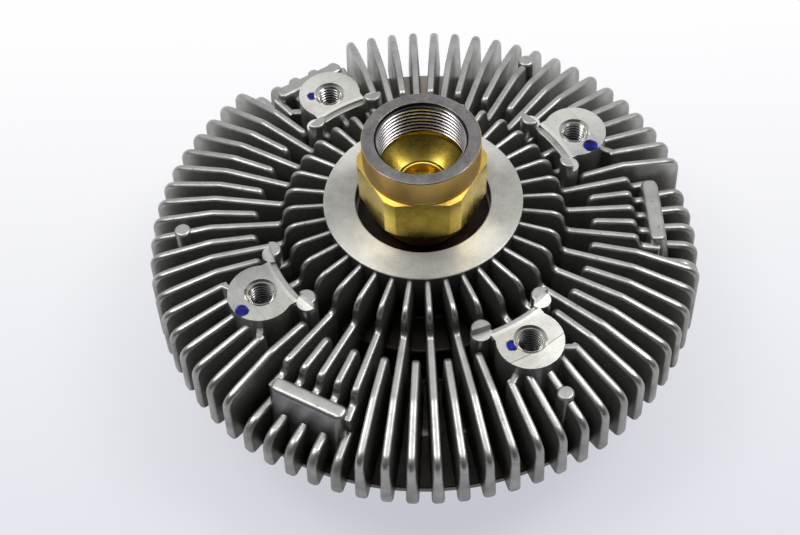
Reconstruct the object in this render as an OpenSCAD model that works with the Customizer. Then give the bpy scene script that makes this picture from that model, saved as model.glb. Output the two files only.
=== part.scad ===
// Viscous fan clutch, lying on its front face with the engine side up.
// The threaded hexagon of the input shaft screws onto the pump of the cooling system, and the
// fan bolts to the four bosses. A rotor on the shaft drives the finned housing through
// silicone fluid, and a bimetal coil on the front turns the valve that meters the fluid.

/* [Housing] */
// Radius of the circle of fin tips, at their feet
body_r = 88.8; // [87.5:0.1:92]
// How far the fin tips stand out past the flange that carries them
fin_overhang = 5; // [3.5:0.5:5.5]
// Thickness of the flange at the rim
rim_t = 2.6; // [2.4:0.1:3]
// How far the drum that holds rotor and cover lies inside the fin tips
drum_inset = 13.8; // [13:0.1:15]
// Wall of the drum outside the cover
drum_wall = 2; // [1.5:0.25:2.5]
// Thickness of the wall over the rotor
body_wall = 4.4; // [4:0.2:6]
// Step down of the floor between the fins, towards the rim
floor_drop = 1; // [0.5:0.1:1.5]
// Radius of that step
floor_step_r = 64; // [62:0.5:67]
// Radius of the bearing hub and its turned ring face
hub_r = 31.25; // [29:0.25:33]
// Height of the ring face above the floor between the fins
hub_h = 32.6; // [31:0.2:36]
// Radius of the hole in the ring face
ring_hole_r = 21.2; // [20.8:0.1:22]
// Radius of the wide foot of the hub
hub_foot_r = 44.8; // [43:0.2:46]
// Height of the wide foot of the hub above the floor
hub_foot_h = 12.6; // [11:0.2:14]
// Wall of the hub foot round its hollow
hub_foot_wall = 5.8; // [5:0.2:6.6]
// Spread of that foot's wall down to the floor
hub_foot_spread = 1.2; // [0.5:0.1:2]
// Bevel on the edges of the ring face
ring_bevel = 0.5; // [0.2:0.1:0.8]

/* [Fins] */
// Number of fins, long and short by turns
fin_count = 72; // [60:12:72]
// Width of a fin at the height of the ring face
fin_top_w = 1.7; // [1.4:0.1:2]
// Width of a fin at its foot
fin_foot_w = 4.05; // [3:0.05:4.3]
// Drop from the ring face to the tall inner part of the long fins
fin_tall_drop = 1.3; // [1:0.1:2]
// Radius at which that tall part ends
fin_tall_r = 44.6; // [43:0.1:46]
// Rounding of the tall part's corner
fin_corner_r = 4.7; // [3:0.1:5]
// Drop from the ring face to the level part of the fins
fin_flat_drop = 9.6; // [9:0.1:11]
// Distance from the fin tips at which the level part starts to fall
fin_flat_inset = 20.8; // [18:0.1:23]
// Angle of the falling part
fin_fall = 13.5; // [11:0.5:17]
// Rounding of the fin tips
fin_nose_r = 4; // [2:0.5:5]
// Draft of the fins' outer ends
fin_end_draft = 1.5; // [0.5:0.5:3]
// Radius at which the short fins begin
fin_short_r = 53.4; // [52:0.1:56]
// How far the feet of the fin tips reach below the floor
fin_foot_drop = 1.5; // [1:0.1:2.3]

/* [Fan bosses] */
// Number of bosses
boss_count = 4; // [3:1:4]
// Direction of the first boss
boss_angle = -60; // [-60:30:0]
// Diameter of the bolt circle
boss_pcd = 117.4; // [114:0.2:120]
// Radius of a boss
boss_r = 10.3; // [9.5:0.1:11]
// Drop from the ring face to the boss faces
boss_drop = 5.7; // [5:0.1:7]
// Tapping radius of the threaded holes
boss_hole_r = 3.4; // [3.1:0.1:4.2]
// Depth of the threaded holes
boss_hole_depth = 20; // [16:0.5:21]
// Radius of the countersink at their mouths
boss_mouth_r = 5; // [4.6:0.1:6]
// Radius at which the fins beside a boss bend into its wall
bend_r = 67.2; // [66:0.1:69]
// Radius of the turned step that centres the fan
pilot_r = 50; // [49.5:0.1:50.5]
// Distance of the boss face's straight inner edge from the middle of the hole
face_inset = 7.5; // [7:0.1:8.2]
// Width of the ledge inside that edge
ledge_w = 1.8; // [1.2:0.1:2.6]
// Drop from the boss face to the ledge
ledge_drop = 0.9; // [0.5:0.1:1.5]
// Half the width of a boss at the ledge
boss_shoulder = 9.2; // [8:0.1:10]
// Radius of the round ears at the ends of the ledge
ear_r = 3.1; // [2.6:0.1:3.4]
// Distance of an ear from the middle of its ledge
ear_offset = 10.8; // [10.2:0.1:11.2]
// Distance of an ear's middle inside the turned step
ear_inset = 1.3; // [0.8:0.1:1.6]
// Rise of the unturned half of an ear above the boss face
ear_rise = 2.8; // [2:0.1:3.4]

/* [Pads and pips] */
// Number of pads, and of pips between them
pad_count = 3; // [3:1:3]
// Length of a pad
pad_l = 23.6; // [20:0.2:25]
// Width of a pad at its top
pad_w = 4.2; // [3.5:0.1:5]
// Distance of a pad's inner edge from the fin tips
pad_inset = 17.2; // [15:0.1:18.5]
// Drop from the ring face to the pads
pad_drop = 11.5; // [11:0.1:12.5]
// Draft of a pad's inner face
pad_inner_draft = 6; // [3:1:8]
// Draft of a pad's outer face
pad_outer_draft = 13; // [10:1:15]
// Length of the notch in the fins inside a pad
notch_l = 4.6; // [3:0.2:6]
// Drop from the ring face to the floor of the notch
notch_drop = 14; // [13:0.1:16]
// Drop from the ring face to the fins outside a pad
pad_fin_drop = 21.2; // [19:0.1:22]
// Fall of the fins outside a pad
pad_fin_fall = 3; // [0:1:6]
// Radius of a pip
pip_r = 2.3; // [2:0.1:2.6]
// Distance of a pip from the fin tips
pip_inset = 11.8; // [9:0.1:13]
// Drop from the ring face to the pips
pip_drop = 10.5; // [9:0.1:12]

/* [Rotor] */
// Width of the shoulder in the housing that the cover seats on
cover_shoulder = 3.5; // [3:0.1:4]
// Gap between rotor and drum
rotor_gap = 0.7; // [0.5:0.1:1]
// Thickness of the rotor disc
rotor_web_t = 4; // [3:0.1:5]
// Height of the ring-shaped lands
land_h = 4; // [3:0.1:5]
// Width of a land
land_w = 1.6; // [1.4:0.1:1.8]
// Distance between two lands of the same piece
land_pitch = 4.4; // [4.2:0.1:5]
// Distance of the housing's first land from the wall of the hub's hollow
land_inset = 4.2; // [3:0.1:5]
// Gap between the tip of a land and the floor it faces
land_gap = 0.5; // [0.4:0.1:0.8]
// Radius of the rotor's hub
rotor_hub_r = 15; // [14:0.1:17]
// Number of fluid holes in the rotor
rotor_hole_count = 6; // [4:1:8]
// Radius of a fluid hole
rotor_hole_r = 4; // [3:0.1:5]
// Distance of the fluid holes from the axis
rotor_hole_circle_r = 30; // [27:0.5:33]

/* [Bearing] */
// Radius of the bearing's bore
bearing_bore_r = 10; // [9.5:0.1:10.5]
// Outer radius of the bearing
bearing_r = 23.5; // [23.2:0.1:24.5]
// Width of the bearing
bearing_w = 14; // [13:0.1:15]
// Depth of the bearing below the ring face
bearing_depth = 7; // [6:0.1:8]
// Number of balls
ball_count = 8; // [7:1:9]
// Radius of a ball
ball_r = 3.97; // [3.8:0.01:4.1]
// Radius of the circle of ball centres
ball_circle_r = 16.75; // [16.6:0.01:16.9]
// Thickness of the snap ring that holds the bearing
bearing_ring_t = 1.75; // [1.5:0.05:2]

/* [Input shaft] */
// Width of the hexagon across its flats
hex_af = 36; // [34:0.5:38]
// Radius to which the hexagon's corners are turned
hex_corner_r = 20.3; // [20:0.1:20.6]
// Height of the hexagon's foot above the ring face
hex_rise = 2.6; // [2:0.1:4]
// Height of the hexagon
hex_h = 16.1; // [14:0.1:18]
// Direction of one of its flats
hex_angle = -92; // [-120:1:-60]
// Height of the nut's mouth above the ring face
mouth_rise = 28.3; // [26:0.1:31]
// Radius of the thread's crests in the mouth
thread_r = 13.19; // [12:0.01:14]
// Length of the thread
thread_l = 12.6; // [10:0.1:14]
// Radius of the bevel at the mouth
mouth_bevel_r = 14.3; // [14.2:0.1:15]
// Radius of the round undercut below the thread
undercut_r = 14.2; // [13:0.1:14.6]
// Radius of the centre hole below the undercut
centre_hole_r = 6; // [4:0.1:7]
// Depth of the centre hole
centre_hole_l = 8; // [5:0.5:12]
// Radius of the neck under the hexagon
neck_r = 15; // [14.5:0.1:17]

/* [Cover] */
// Height of the fins on the cover
front_fin_h = 8.5; // [7:0.1:11]
// Number of fins on the cover
front_fin_count = 36; // [24:2:40]
// Width of a cover fin at its tip
front_fin_w = 2; // [1.6:0.1:2.6]
// Thickness of the cover's wall
cover_t = 3.5; // [3.2:0.1:4.5]
// Thickness of the cover's edge
cover_edge_t = 4.5; // [4:0.1:5]
// Thickness of the housing's edge rolled over the cover
lip_t = 1.2; // [1:0.1:1.6]
// How far that edge reaches over the cover
lip_w = 2.4; // [1.6:0.1:3]
// Thickness of the cover's ring seal
seal_t = 1.7; // [1.5:0.1:2]
// Radius of the pump plate
plate_r = 46.5; // [45.5:0.1:47]
// Width of the pump plate's seat round the fluid reservoir
plate_seat_w = 6.5; // [6:0.1:7.5]
// Thickness of the pump plate
plate_t = 1; // [0.8:0.1:1.2]
// Width of the rim round the pump plate
plate_rim_w = 2.9; // [2:0.1:3]
// Gap between pump plate and rotor
plate_gap = 1.2; // [1:0.1:1.6]
// Number of rivets in the pump plate
rivet_count = 4; // [3:1:6]
// Radius of a rivet
rivet_r = 1.2; // [1:0.1:1.4]
// Width of the wiper's channel at the edge of the cover
channel_w = 6.8; // [6:0.1:7.2]
// Angle that the wiper takes up
wiper_angle = 11; // [8:1:14]
// Radius of the fluid's way back to the reservoir
return_r = 1; // [0.8:0.1:1.1]

/* [Valve and coil] */
// Radius of the valve shaft
valve_shaft_r = 3; // [2.6:0.1:3.4]
// Radius of the boss that the valve shaft turns in
valve_boss_r = 8; // [6:0.5:9]
// Reach of the valve arm from the axis to the inlet
valve_reach = 31; // [27:0.5:33]
// Width of the valve arm
valve_arm_w = 9; // [7:0.5:11]
// Thickness of the valve arm
valve_arm_t = 0.8; // [0.6:0.1:1]
// Radius of the inlet holes in the pump plate
inlet_r = 3; // [2:0.1:3.4]
// Direction of the valve arm with the inlets shut
valve_angle = 20; // [0:5:90]
// Radius of the well that the coil lies in
well_r = 24; // [22:0.5:25]
// Depth of the well
well_depth = 5.5; // [5:0.1:6]
// Width of the wall round the well
well_wall = 3.5; // [3:0.1:4.5]
// Thickness of the coil's strip
coil_t = 0.8; // [0.6:0.05:1]
// Width of the coil's strip
coil_w = 4.2; // [3.6:0.1:4.4]
// Number of turns of the coil
coil_turns = 6; // [4:1:6]
// Distance from turn to turn
coil_pitch = 2.2; // [1.8:0.1:2.3]

/* [Hidden] */
$fn = 128;

// Fits: pieces pressed together, running pieces, and an overlap that makes two forms one
press_gap = 0.02;
run_gap = 0.05;
join = 1;

// Heights from the front, from the surface that the cover's fins rest on
cover_face_z = front_fin_h + cover_t;
cover_edge_z = cover_face_z - 1;
shoulder_z = cover_edge_z + cover_edge_t;
rotor_front_z = cover_face_z + land_h + land_gap;
rotor_back_z = rotor_front_z + rotor_web_t;
ceiling_z = rotor_back_z + land_h + land_gap;
floor_z = ceiling_z + body_wall;
rim_floor_z = floor_z - floor_drop;
fin_foot_z = rim_floor_z - fin_foot_drop;
hub_foot_z = floor_z + hub_foot_h;
ring_z = floor_z + hub_h;
bearing_back_z = ring_z - bearing_depth;
bearing_front_z = bearing_back_z - bearing_w;
bearing_mid_z = bearing_front_z + bearing_w / 2;
mouth_z = ring_z + mouth_rise;

// Radii of the drum and what fits in it
rim_r = body_r - fin_overhang;
drum_r = body_r - drum_inset;
seat_r = drum_r - drum_wall;
chamber_r = seat_r - cover_shoulder;
rotor_r = chamber_r - rotor_gap;
cover_r = seat_r - press_gap;
channel_out_r = chamber_r - 0.2;
channel_in_r = channel_out_r - channel_w;
lip_r = seat_r - lip_w;

// Lands: the housing's, the rotor's between them, and the cover's in what room it has
hub_hollow_r = hub_foot_r - hub_foot_wall;
land_r = hub_hollow_r + land_inset;
land_count = floor((rotor_r - land_w / 2 - land_r - land_pitch / 2) / land_pitch) + 1;
cover_lands = [for (i = [0:land_count - 1]) let (r = land_r + i * land_pitch)
    if (r - land_w / 2 > plate_r + plate_rim_w + land_w && r + land_w / 2 < channel_in_r) r];

// Points of a round stretch of an outline
function arc(centre, r, from, to, steps) =
    [for (i = [0:steps]) let (a = from + (to - from) * i / steps) centre + r * [cos(a), sin(a)]];

// A ring of rectangular section about the axis
module ring(r_in, r_out, z, h) {
    rotate_extrude() translate([r_in, z]) square([r_out - r_in, h]);
}

// Section of the lands of one piece, standing on the floor at z
module land_section(radii, z) {
    for (r = radii) translate([r - land_w / 2, z]) square([land_w, land_h]);
}

// Copies one form round the axis
module round_about(count, from = 0) {
    for (i = [0:count - 1]) rotate(from + i * 360 / count) children();
}

// A straight fin along X, from r0 to r1, with drafted sides
module fin_bar(r0, r1, foot_z, foot_w, tip_z, tip_w) {
    translate([r0, 0, 0]) rotate([90, 0, 90]) linear_extrude(r1 - r0)
        polygon([[-foot_w / 2, foot_z], [foot_w / 2, foot_z], [tip_w / 2, tip_z], [-tip_w / 2, tip_z]]);
}

// Rear housing

// Snap ring groove and hollow below the bearing
bearing_groove_r = bearing_r + 1.5;
bearing_groove_z = bearing_front_z - bearing_ring_t - run_gap;
hub_hollow_z = bearing_groove_z - 3.2;
// Slanted stretch of the step in the floor
floor_step_w = 2;

housing_outline = [
    [ring_hole_r, ring_z - ring_bevel], [ring_hole_r + ring_bevel, ring_z],
    [hub_r - ring_bevel, ring_z], [hub_r, ring_z - ring_bevel], [hub_r, hub_foot_z],
    [hub_foot_r - join, hub_foot_z], [hub_foot_r, hub_foot_z - join],
    [hub_foot_r + hub_foot_spread, floor_z],
    [floor_step_r, floor_z], [floor_step_r + floor_step_w, rim_floor_z],
    [rim_r, rim_floor_z], [rim_r, rim_floor_z - rim_t], [drum_r, rim_floor_z - rim_t],
    [drum_r, cover_edge_z], [drum_r - lip_t / 2, cover_edge_z - lip_t], [lip_r, cover_edge_z - lip_t],
    [lip_r, cover_edge_z], [seat_r, cover_edge_z], [seat_r, shoulder_z], [chamber_r, shoulder_z],
    [chamber_r, ceiling_z], [hub_hollow_r, ceiling_z], [hub_hollow_r, hub_hollow_z],
    [bearing_r, hub_hollow_z], [bearing_r, bearing_groove_z], [bearing_groove_r, bearing_groove_z],
    [bearing_groove_r, bearing_front_z], [bearing_r, bearing_front_z],
    [bearing_r, bearing_back_z], [ring_hole_r, bearing_back_z]];

// Top edge of the fins, from the hub to their tips
fin_tall_z = ring_z - fin_tall_drop;
fin_flat_z = ring_z - fin_flat_drop;
fin_flat_r = body_r - fin_flat_inset;
fin_step_fillet = 2;
fin_step_lean = 10;
fin_step_run = (fin_tall_z - fin_flat_z - fin_corner_r - fin_step_fillet) * tan(fin_step_lean);
fin_nose_rise = fin_flat_z - fin_foot_z - (fin_flat_inset - fin_nose_r) * tan(fin_fall) - fin_nose_r;
fin_nose_centre_r = body_r - fin_nose_rise * tan(fin_end_draft) - fin_nose_r;
fin_nose_z = fin_flat_z - (fin_nose_centre_r - fin_flat_r) * tan(fin_fall) - fin_nose_r / cos(fin_fall);
round_steps = 4;

fin_outline = concat(
    [[hub_r - join, hub_foot_z - join], [hub_r - join, fin_tall_z]],
    arc([fin_tall_r - fin_corner_r, fin_tall_z - fin_corner_r], fin_corner_r,
        90, fin_step_lean, round_steps),
    arc([fin_tall_r + fin_step_run + fin_step_fillet, fin_flat_z + fin_step_fillet], fin_step_fillet,
        180 + fin_step_lean, 270, round_steps),
    [[fin_flat_r, fin_flat_z]],
    arc([fin_nose_centre_r, fin_nose_z], fin_nose_r, 90 - fin_fall, fin_end_draft, round_steps),
    [[body_r, fin_foot_z], [hub_foot_r - join, fin_foot_z], [hub_foot_r - join, hub_foot_z - join]]);

// Room for a pad: the fins are notched inside it and kept low outside it
pad_r = body_r - pad_inset;
pad_mid_r = pad_r + pad_w / 2;
pad_half_angle = 2.5 * 360 / fin_count;
module pad_room() {
    notch_r = pad_r - notch_l;
    spread = tan(pad_half_angle);
    translate([0, 0, ring_z - notch_drop]) linear_extrude(notch_drop)
        polygon([[notch_r, -notch_r * spread], [pad_mid_r, -pad_mid_r * spread],
            [pad_mid_r, pad_mid_r * spread], [notch_r, notch_r * spread]]);
    out_r = body_r + join;
    in_z = ring_z - pad_fin_drop;
    rotate([90, 0, 0]) linear_extrude(2 * pad_mid_r * spread, center = true)
        polygon([[pad_mid_r, in_z], [out_r, in_z - (out_r - pad_mid_r) * tan(pad_fin_fall)],
            [out_r, ring_z], [pad_mid_r, ring_z]]);
}

// The fins two places from a boss bend into its wall: a short web, and a gap in the fin inside it
bend_angle = 2 * 360 / fin_count;
bend_place = bend_r * [cos(bend_angle), sin(bend_angle)] - [boss_pcd / 2, 0];
module bend_web() {
    translate([boss_pcd / 2, 0, 0]) rotate(atan2(bend_place.y, bend_place.x))
        fin_bar(boss_r - join, norm(bend_place) + join / 2,
            fin_foot_z - join, fin_foot_w, ring_z, fin_top_w);
}

module bend_gap() {
    rotate(bend_angle) translate([pilot_r, -fin_foot_w / 2, floor_z - join / 2])
        cube([bend_r - join - pilot_r, fin_foot_w, ring_z - floor_z + join]);
}

module body_fins() {
    intersection() {
        rotate_extrude() polygon(fin_outline);
        difference() {
            for (i = [0:fin_count - 1]) rotate(i * 360 / fin_count - 90)
                fin_bar(i % 2 == 0 ? hub_r - 2 * join : fin_short_r, body_r + join,
                    fin_foot_z - join, fin_foot_w, ring_z, fin_top_w);
            round_about(pad_count) pad_room();
            round_about(boss_count, boss_angle) for (side = [0, 1]) mirror([0, side, 0]) bend_gap();
        }
    }
    intersection() {
        rotate_extrude() polygon(fin_outline);
        round_about(boss_count, boss_angle) for (side = [0, 1]) mirror([0, side, 0]) bend_web();
    }
}

// A boss with its ledge and ears, in the direction of X
boss_z = ring_z - boss_drop;
boss_foot_z = floor_z - join;
module boss() {
    boss_circle_r = boss_pcd / 2;
    ear_x = pilot_r - ear_inset;
    edge_x = boss_circle_r - face_inset;
    translate([0, 0, boss_foot_z]) linear_extrude(boss_z - boss_foot_z) {
        intersection() {
            translate([boss_circle_r, 0]) circle(boss_r);
            translate([edge_x, -boss_r]) square([face_inset + boss_r, 2 * boss_r]);
        }
        translate([edge_x, -boss_shoulder]) square([face_inset, 2 * boss_shoulder]);
    }
    translate([edge_x - ledge_w, -boss_shoulder, boss_foot_z])
        cube([ledge_w + join, 2 * boss_shoulder, boss_z - ledge_drop - boss_foot_z]);
    for (side = [-1, 1]) difference() {
        translate([ear_x, side * ear_offset, boss_foot_z])
            cylinder(r = ear_r, h = boss_z + ear_rise - boss_foot_z);
        translate([0, 0, boss_z]) ring(pilot_r, boss_circle_r, 0, ear_rise + join);
    }
}

module boss_hole() {
    mouth_h = boss_mouth_r - boss_hole_r;
    translate([boss_pcd / 2, 0, 0]) {
        translate([0, 0, boss_z - boss_hole_depth]) cylinder(r = boss_hole_r, h = boss_hole_depth + join);
        translate([0, 0, boss_z - mouth_h]) cylinder(r1 = boss_hole_r, r2 = boss_mouth_r, h = mouth_h);
    }
}

module pad() {
    top_z = ring_z - pad_drop;
    foot = rim_floor_z - join;
    rotate([90, 0, 0]) linear_extrude(pad_l, center = true)
        polygon([[pad_r, top_z], [pad_r + pad_w, top_z],
            [pad_r + pad_w + (top_z - foot) * tan(pad_outer_draft), foot],
            [pad_r - (top_z - foot) * tan(pad_inner_draft), foot]]);
}

module pip() {
    translate([body_r - pip_inset, 0, rim_floor_z - join])
        cylinder(r = pip_r, h = ring_z - pip_drop - rim_floor_z + join);
}

module rear_body() {
    color("#a8a9a6") difference() {
        union() {
            rotate_extrude() {
                polygon(housing_outline);
                land_section([for (i = [0:land_count - 1]) land_r + i * land_pitch], ceiling_z - land_h);
            }
            body_fins();
            round_about(boss_count, boss_angle) boss();
            round_about(pad_count) pad();
            round_about(pad_count, 180 / pad_count) pip();
        }
        round_about(boss_count, boss_angle) boss_hole();
    }
}

// Front cover

// Pump plate in its seat, reservoir behind it and well in front
plate_top_z = rotor_front_z - plate_gap;
reservoir_r = plate_r - plate_seat_w;
plate_z = plate_top_z - plate_t;
plate_seat_r = plate_r + 0.1;
well_floor_z = well_depth;
reservoir_floor_z = well_floor_z + cover_t;
valve_boss_z = reservoir_floor_z + 3.5;
valve_bore_r = valve_shaft_r + run_gap;
well_edge_z = 1;
cover_step_r = lip_r - 0.2;
front_fin_tip_r = cover_step_r - front_fin_h / 2;

// Groove of the ring seal in the cover's edge
seal_mid_z = cover_edge_z + cover_edge_t / 2;
seal_mid_r = seat_r - press_gap - seal_t / 2;
seal_groove_r = seal_mid_r - seal_t / 2 - press_gap;
seal_groove_h = seal_t + 0.3;

// Wiper's peg and the fluid's way back beside it
wiper_mid_r = (channel_in_r + channel_out_r) / 2;
wiper_peg_r = 2;
wiper_peg_l = 2;
wiper_from = 60;
return_angle = wiper_from - 3;
return_z = cover_face_z - cover_t / 2;
rivet_circle_r = (reservoir_r + plate_r) / 2;
rivet_l = 3;

// Bracket that holds the coil's outer end, and its rivet
anchor_angle = 0;
anchor_rivet_r = 1.2;
anchor_rivet_l = 2;

cover_outline = [
    [valve_bore_r, well_floor_z], [well_r, well_floor_z], [well_r, well_edge_z],
    [well_r + well_wall, well_edge_z], [well_r + well_wall, front_fin_h],
    [cover_step_r, front_fin_h], [cover_step_r, cover_edge_z], [cover_r, cover_edge_z],
    [cover_r, seal_mid_z - seal_groove_h / 2], [seal_groove_r, seal_mid_z - seal_groove_h / 2],
    [seal_groove_r, seal_mid_z + seal_groove_h / 2], [cover_r, seal_mid_z + seal_groove_h / 2],
    [cover_r, shoulder_z], [channel_out_r, shoulder_z], [channel_out_r, cover_face_z],
    [plate_r + plate_rim_w, cover_face_z], [plate_r + plate_rim_w, plate_top_z],
    [plate_seat_r, plate_top_z], [plate_seat_r, plate_z], [reservoir_r, plate_z],
    [reservoir_r, reservoir_floor_z], [valve_boss_r, reservoir_floor_z],
    [valve_boss_r, valve_boss_z], [valve_bore_r, valve_boss_z]];

front_fin_outline = [
    [well_r + join, 0], [front_fin_tip_r, 0], [cover_step_r, front_fin_h],
    [cover_step_r, front_fin_h + join], [well_r + join, front_fin_h + join]];

module front_cover() {
    color("#a3a4a2") difference() {
        union() {
            rotate_extrude() {
                polygon(cover_outline);
                land_section(cover_lands, cover_face_z);
            }
            intersection() {
                rotate_extrude() polygon(front_fin_outline);
                round_about(front_fin_count)
                    fin_bar(well_r + join, cover_step_r + join, front_fin_h + 2 * join,
                        1.5 * front_fin_w, 0, front_fin_w);
            }
        }
        rotate(wiper_from + wiper_angle / 2)
            translate([wiper_mid_r, 0, cover_face_z - wiper_peg_l - press_gap])
                cylinder(r = wiper_peg_r + press_gap, h = wiper_peg_l + join);
        rotate(return_angle) {
            translate([wiper_mid_r, 0, return_z]) cylinder(r = return_r, h = cover_t);
            translate([reservoir_r - join, 0, return_z]) rotate([0, 90, 0])
                cylinder(r = return_r, h = wiper_mid_r - reservoir_r + join);
        }
        round_about(rivet_count) translate([rivet_circle_r, 0, plate_z - rivet_l - press_gap])
            cylinder(r = rivet_r + press_gap, h = rivet_l + join);
        rotate(anchor_angle) translate([anchor_x, anchor_rivet_y, well_floor_z - join])
            cylinder(r = anchor_rivet_r + press_gap, h = anchor_rivet_l + join + press_gap);
    }
}

module cover_seal() {
    color("#1d1b1a") rotate_extrude() translate([seal_mid_r, seal_mid_z]) circle(seal_t / 2, $fn = 32);
}

// Input shaft: the nut, its neck, the bearing journal and the rotor's seat, turned from one bar
hex_foot_z = ring_z + hex_rise;
hex_top_z = hex_foot_z + hex_h;
collar_r = hex_af / 2;
hex_corner_h = hex_corner_r - collar_r;
neck_end_z = bearing_back_z + 2.5;
shaft_shoulder_r = bearing_bore_r + 3.2;
journal_r = bearing_bore_r - press_gap;
undercut_z = mouth_z - thread_l;
undercut_l = 2.5;
socket_z = undercut_z - undercut_l;
socket_cone_h = 1.5;
mouth_bevel_h = mouth_bevel_r - thread_r;
collar_bevel = 0.5;

// Snap ring that holds the rotor, in its groove on the shaft
rotor_ring_t = 1.2;
rotor_seat_z = rotor_front_z + 3;
shaft_end_z = rotor_front_z + 0.5;
rotor_ring_z = rotor_seat_z - rotor_ring_t - run_gap;
rotor_groove_r = journal_r - 0.8;
rotor_pocket_r = bearing_bore_r + 4;

shaft_outline = [
    [0, shaft_end_z], [journal_r - 0.5, shaft_end_z], [journal_r, shaft_end_z + 0.5],
    [journal_r, rotor_ring_z - run_gap], [rotor_groove_r, rotor_ring_z - run_gap],
    [rotor_groove_r, rotor_seat_z], [journal_r, rotor_seat_z], [journal_r, bearing_back_z],
    [shaft_shoulder_r, bearing_back_z], [shaft_shoulder_r, neck_end_z], [neck_r, neck_end_z],
    [neck_r, hex_foot_z], [collar_r, hex_foot_z], [collar_r, mouth_z - collar_bevel],
    [collar_r - collar_bevel, mouth_z], [mouth_bevel_r, mouth_z], [thread_r, mouth_z - mouth_bevel_h],
    [thread_r, undercut_z], [undercut_r, undercut_z - (undercut_r - thread_r)],
    [undercut_r, socket_z], [centre_hole_r, socket_z - socket_cone_h],
    [centre_hole_r, socket_z - centre_hole_l], [0, socket_z - centre_hole_l - centre_hole_r / 2]];

// Turned ends of the hexagon: a steep bevel at the foot and a shallow one at the top
hex_turned_outline = [
    [neck_r - join, hex_foot_z], [collar_r, hex_foot_z], [hex_corner_r, hex_foot_z + hex_corner_h],
    [hex_corner_r, hex_top_z - hex_corner_h / 4], [collar_r - join, hex_top_z + join / 4],
    [collar_r - join, hex_foot_z + 2], [neck_r - join, hex_foot_z + 2]];

module input_shaft() {
    color("#b3974a") {
        rotate_extrude() polygon(shaft_outline);
        intersection() {
            rotate(hex_angle + 30) cylinder(r = hex_af / sqrt(3), h = mouth_z, $fn = 6);
            rotate_extrude() polygon(hex_turned_outline);
        }
    }
}

// Ball bearing
race_r = ball_r + run_gap;
inner_shoulder_r = ball_circle_r - 0.79 * ball_r;
outer_shoulder_r = ball_circle_r + 0.79 * ball_r;
bearing_seal_t = 0.8;
bearing_seal_inset = 0.3;
bearing_seal_r = outer_shoulder_r + 0.9;
bearing_seal_lip_r = inner_shoulder_r + 0.2;
bearing_recess_h = bearing_seal_inset + bearing_seal_t + press_gap;
cage_w = 2 * ball_r + 2.2;
cage_t = 3.4;
bearing_ring_opening = 9;

module bearing_outer_ring() {
    color("#8d9094") rotate_extrude() difference() {
        translate([outer_shoulder_r, bearing_front_z])
            square([bearing_r - press_gap - outer_shoulder_r, bearing_w - press_gap]);
        translate([ball_circle_r, bearing_mid_z]) circle(race_r);
        for (z = [bearing_front_z - join, bearing_back_z - bearing_recess_h])
            translate([0, z]) square([bearing_seal_r + press_gap, bearing_recess_h + join]);
    }
}

module bearing_inner_ring() {
    color("#8d9094") rotate_extrude() difference() {
        translate([bearing_bore_r, bearing_front_z])
            square([inner_shoulder_r - bearing_bore_r, bearing_w - press_gap]);
        translate([ball_circle_r, bearing_mid_z]) circle(race_r);
    }
}

module ball_places() {
    round_about(ball_count) translate([ball_circle_r, 0, bearing_mid_z]) children();
}

module bearing_balls() {
    color("#c9ccd0") ball_places() sphere(ball_r, $fn = 48);
}

module bearing_cage() {
    color("#a98f4c") difference() {
        ring(ball_circle_r - cage_t / 2, ball_circle_r + cage_t / 2, bearing_mid_z - cage_w / 2, cage_w);
        ball_places() sphere(ball_r + run_gap, $fn = 48);
    }
}

module bearing_rear_seal() {
    color("#2a1a16") ring(bearing_seal_lip_r, bearing_seal_r,
        bearing_back_z - bearing_seal_inset - bearing_seal_t, bearing_seal_t);
}

module bearing_front_seal() {
    color("#2a1a16") ring(bearing_seal_lip_r, bearing_seal_r,
        bearing_front_z + bearing_seal_inset, bearing_seal_t);
}

// An open snap ring of rectangular section, with its gap towards X
module snap_ring(r_in, r_out, z, t, gap) {
    difference() {
        ring(r_in, r_out, z, t);
        translate([0, -gap / 2, z - join]) cube([r_out + join, gap, t + 2 * join]);
    }
}

module bearing_retaining_ring() {
    color("#6f7277") snap_ring(bearing_r - 2, bearing_groove_r - run_gap,
        bearing_front_z - bearing_ring_t, bearing_ring_t - press_gap, bearing_ring_opening);
}

// Rotor and its snap ring
rotor_outline = [
    [bearing_bore_r, rotor_seat_z], [rotor_pocket_r, rotor_seat_z], [rotor_pocket_r, rotor_front_z],
    [rotor_r, rotor_front_z], [rotor_r, rotor_back_z], [rotor_hub_r, rotor_back_z],
    [rotor_hub_r, bearing_front_z - join], [inner_shoulder_r, bearing_front_z - press_gap],
    [bearing_bore_r, bearing_front_z - press_gap]];
rotor_back_lands = [for (i = [0:land_count - 1]) land_r + (i + 0.5) * land_pitch];
rotor_front_lands = [for (i = [1:len(cover_lands) - 1]) cover_lands[i] - land_pitch / 2];

module rotor() {
    color("#b4b6b8") difference() {
        rotate_extrude() {
            polygon(rotor_outline);
            land_section(rotor_back_lands, rotor_back_z);
            land_section(rotor_front_lands, rotor_front_z - land_h);
        }
        round_about(rotor_hole_count) translate([rotor_hole_circle_r, 0, rotor_front_z - join])
            cylinder(r = rotor_hole_r, h = rotor_web_t + 2 * join);
    }
}

// How far the rotor's snap ring stands out of the shaft, and the width of its opening
rotor_ring_reach = 2.2;
rotor_ring_opening = 5;

module rotor_retaining_ring() {
    color("#6f7277") snap_ring(rotor_groove_r + press_gap, journal_r + rotor_ring_reach,
        rotor_ring_z, rotor_ring_t, rotor_ring_opening);
}

// Pump plate, its rivets and the wiper
rivet_head_r = rivet_r + 1;
rivet_head_t = 0.6;
wiper_gap = 0.3;

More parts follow.
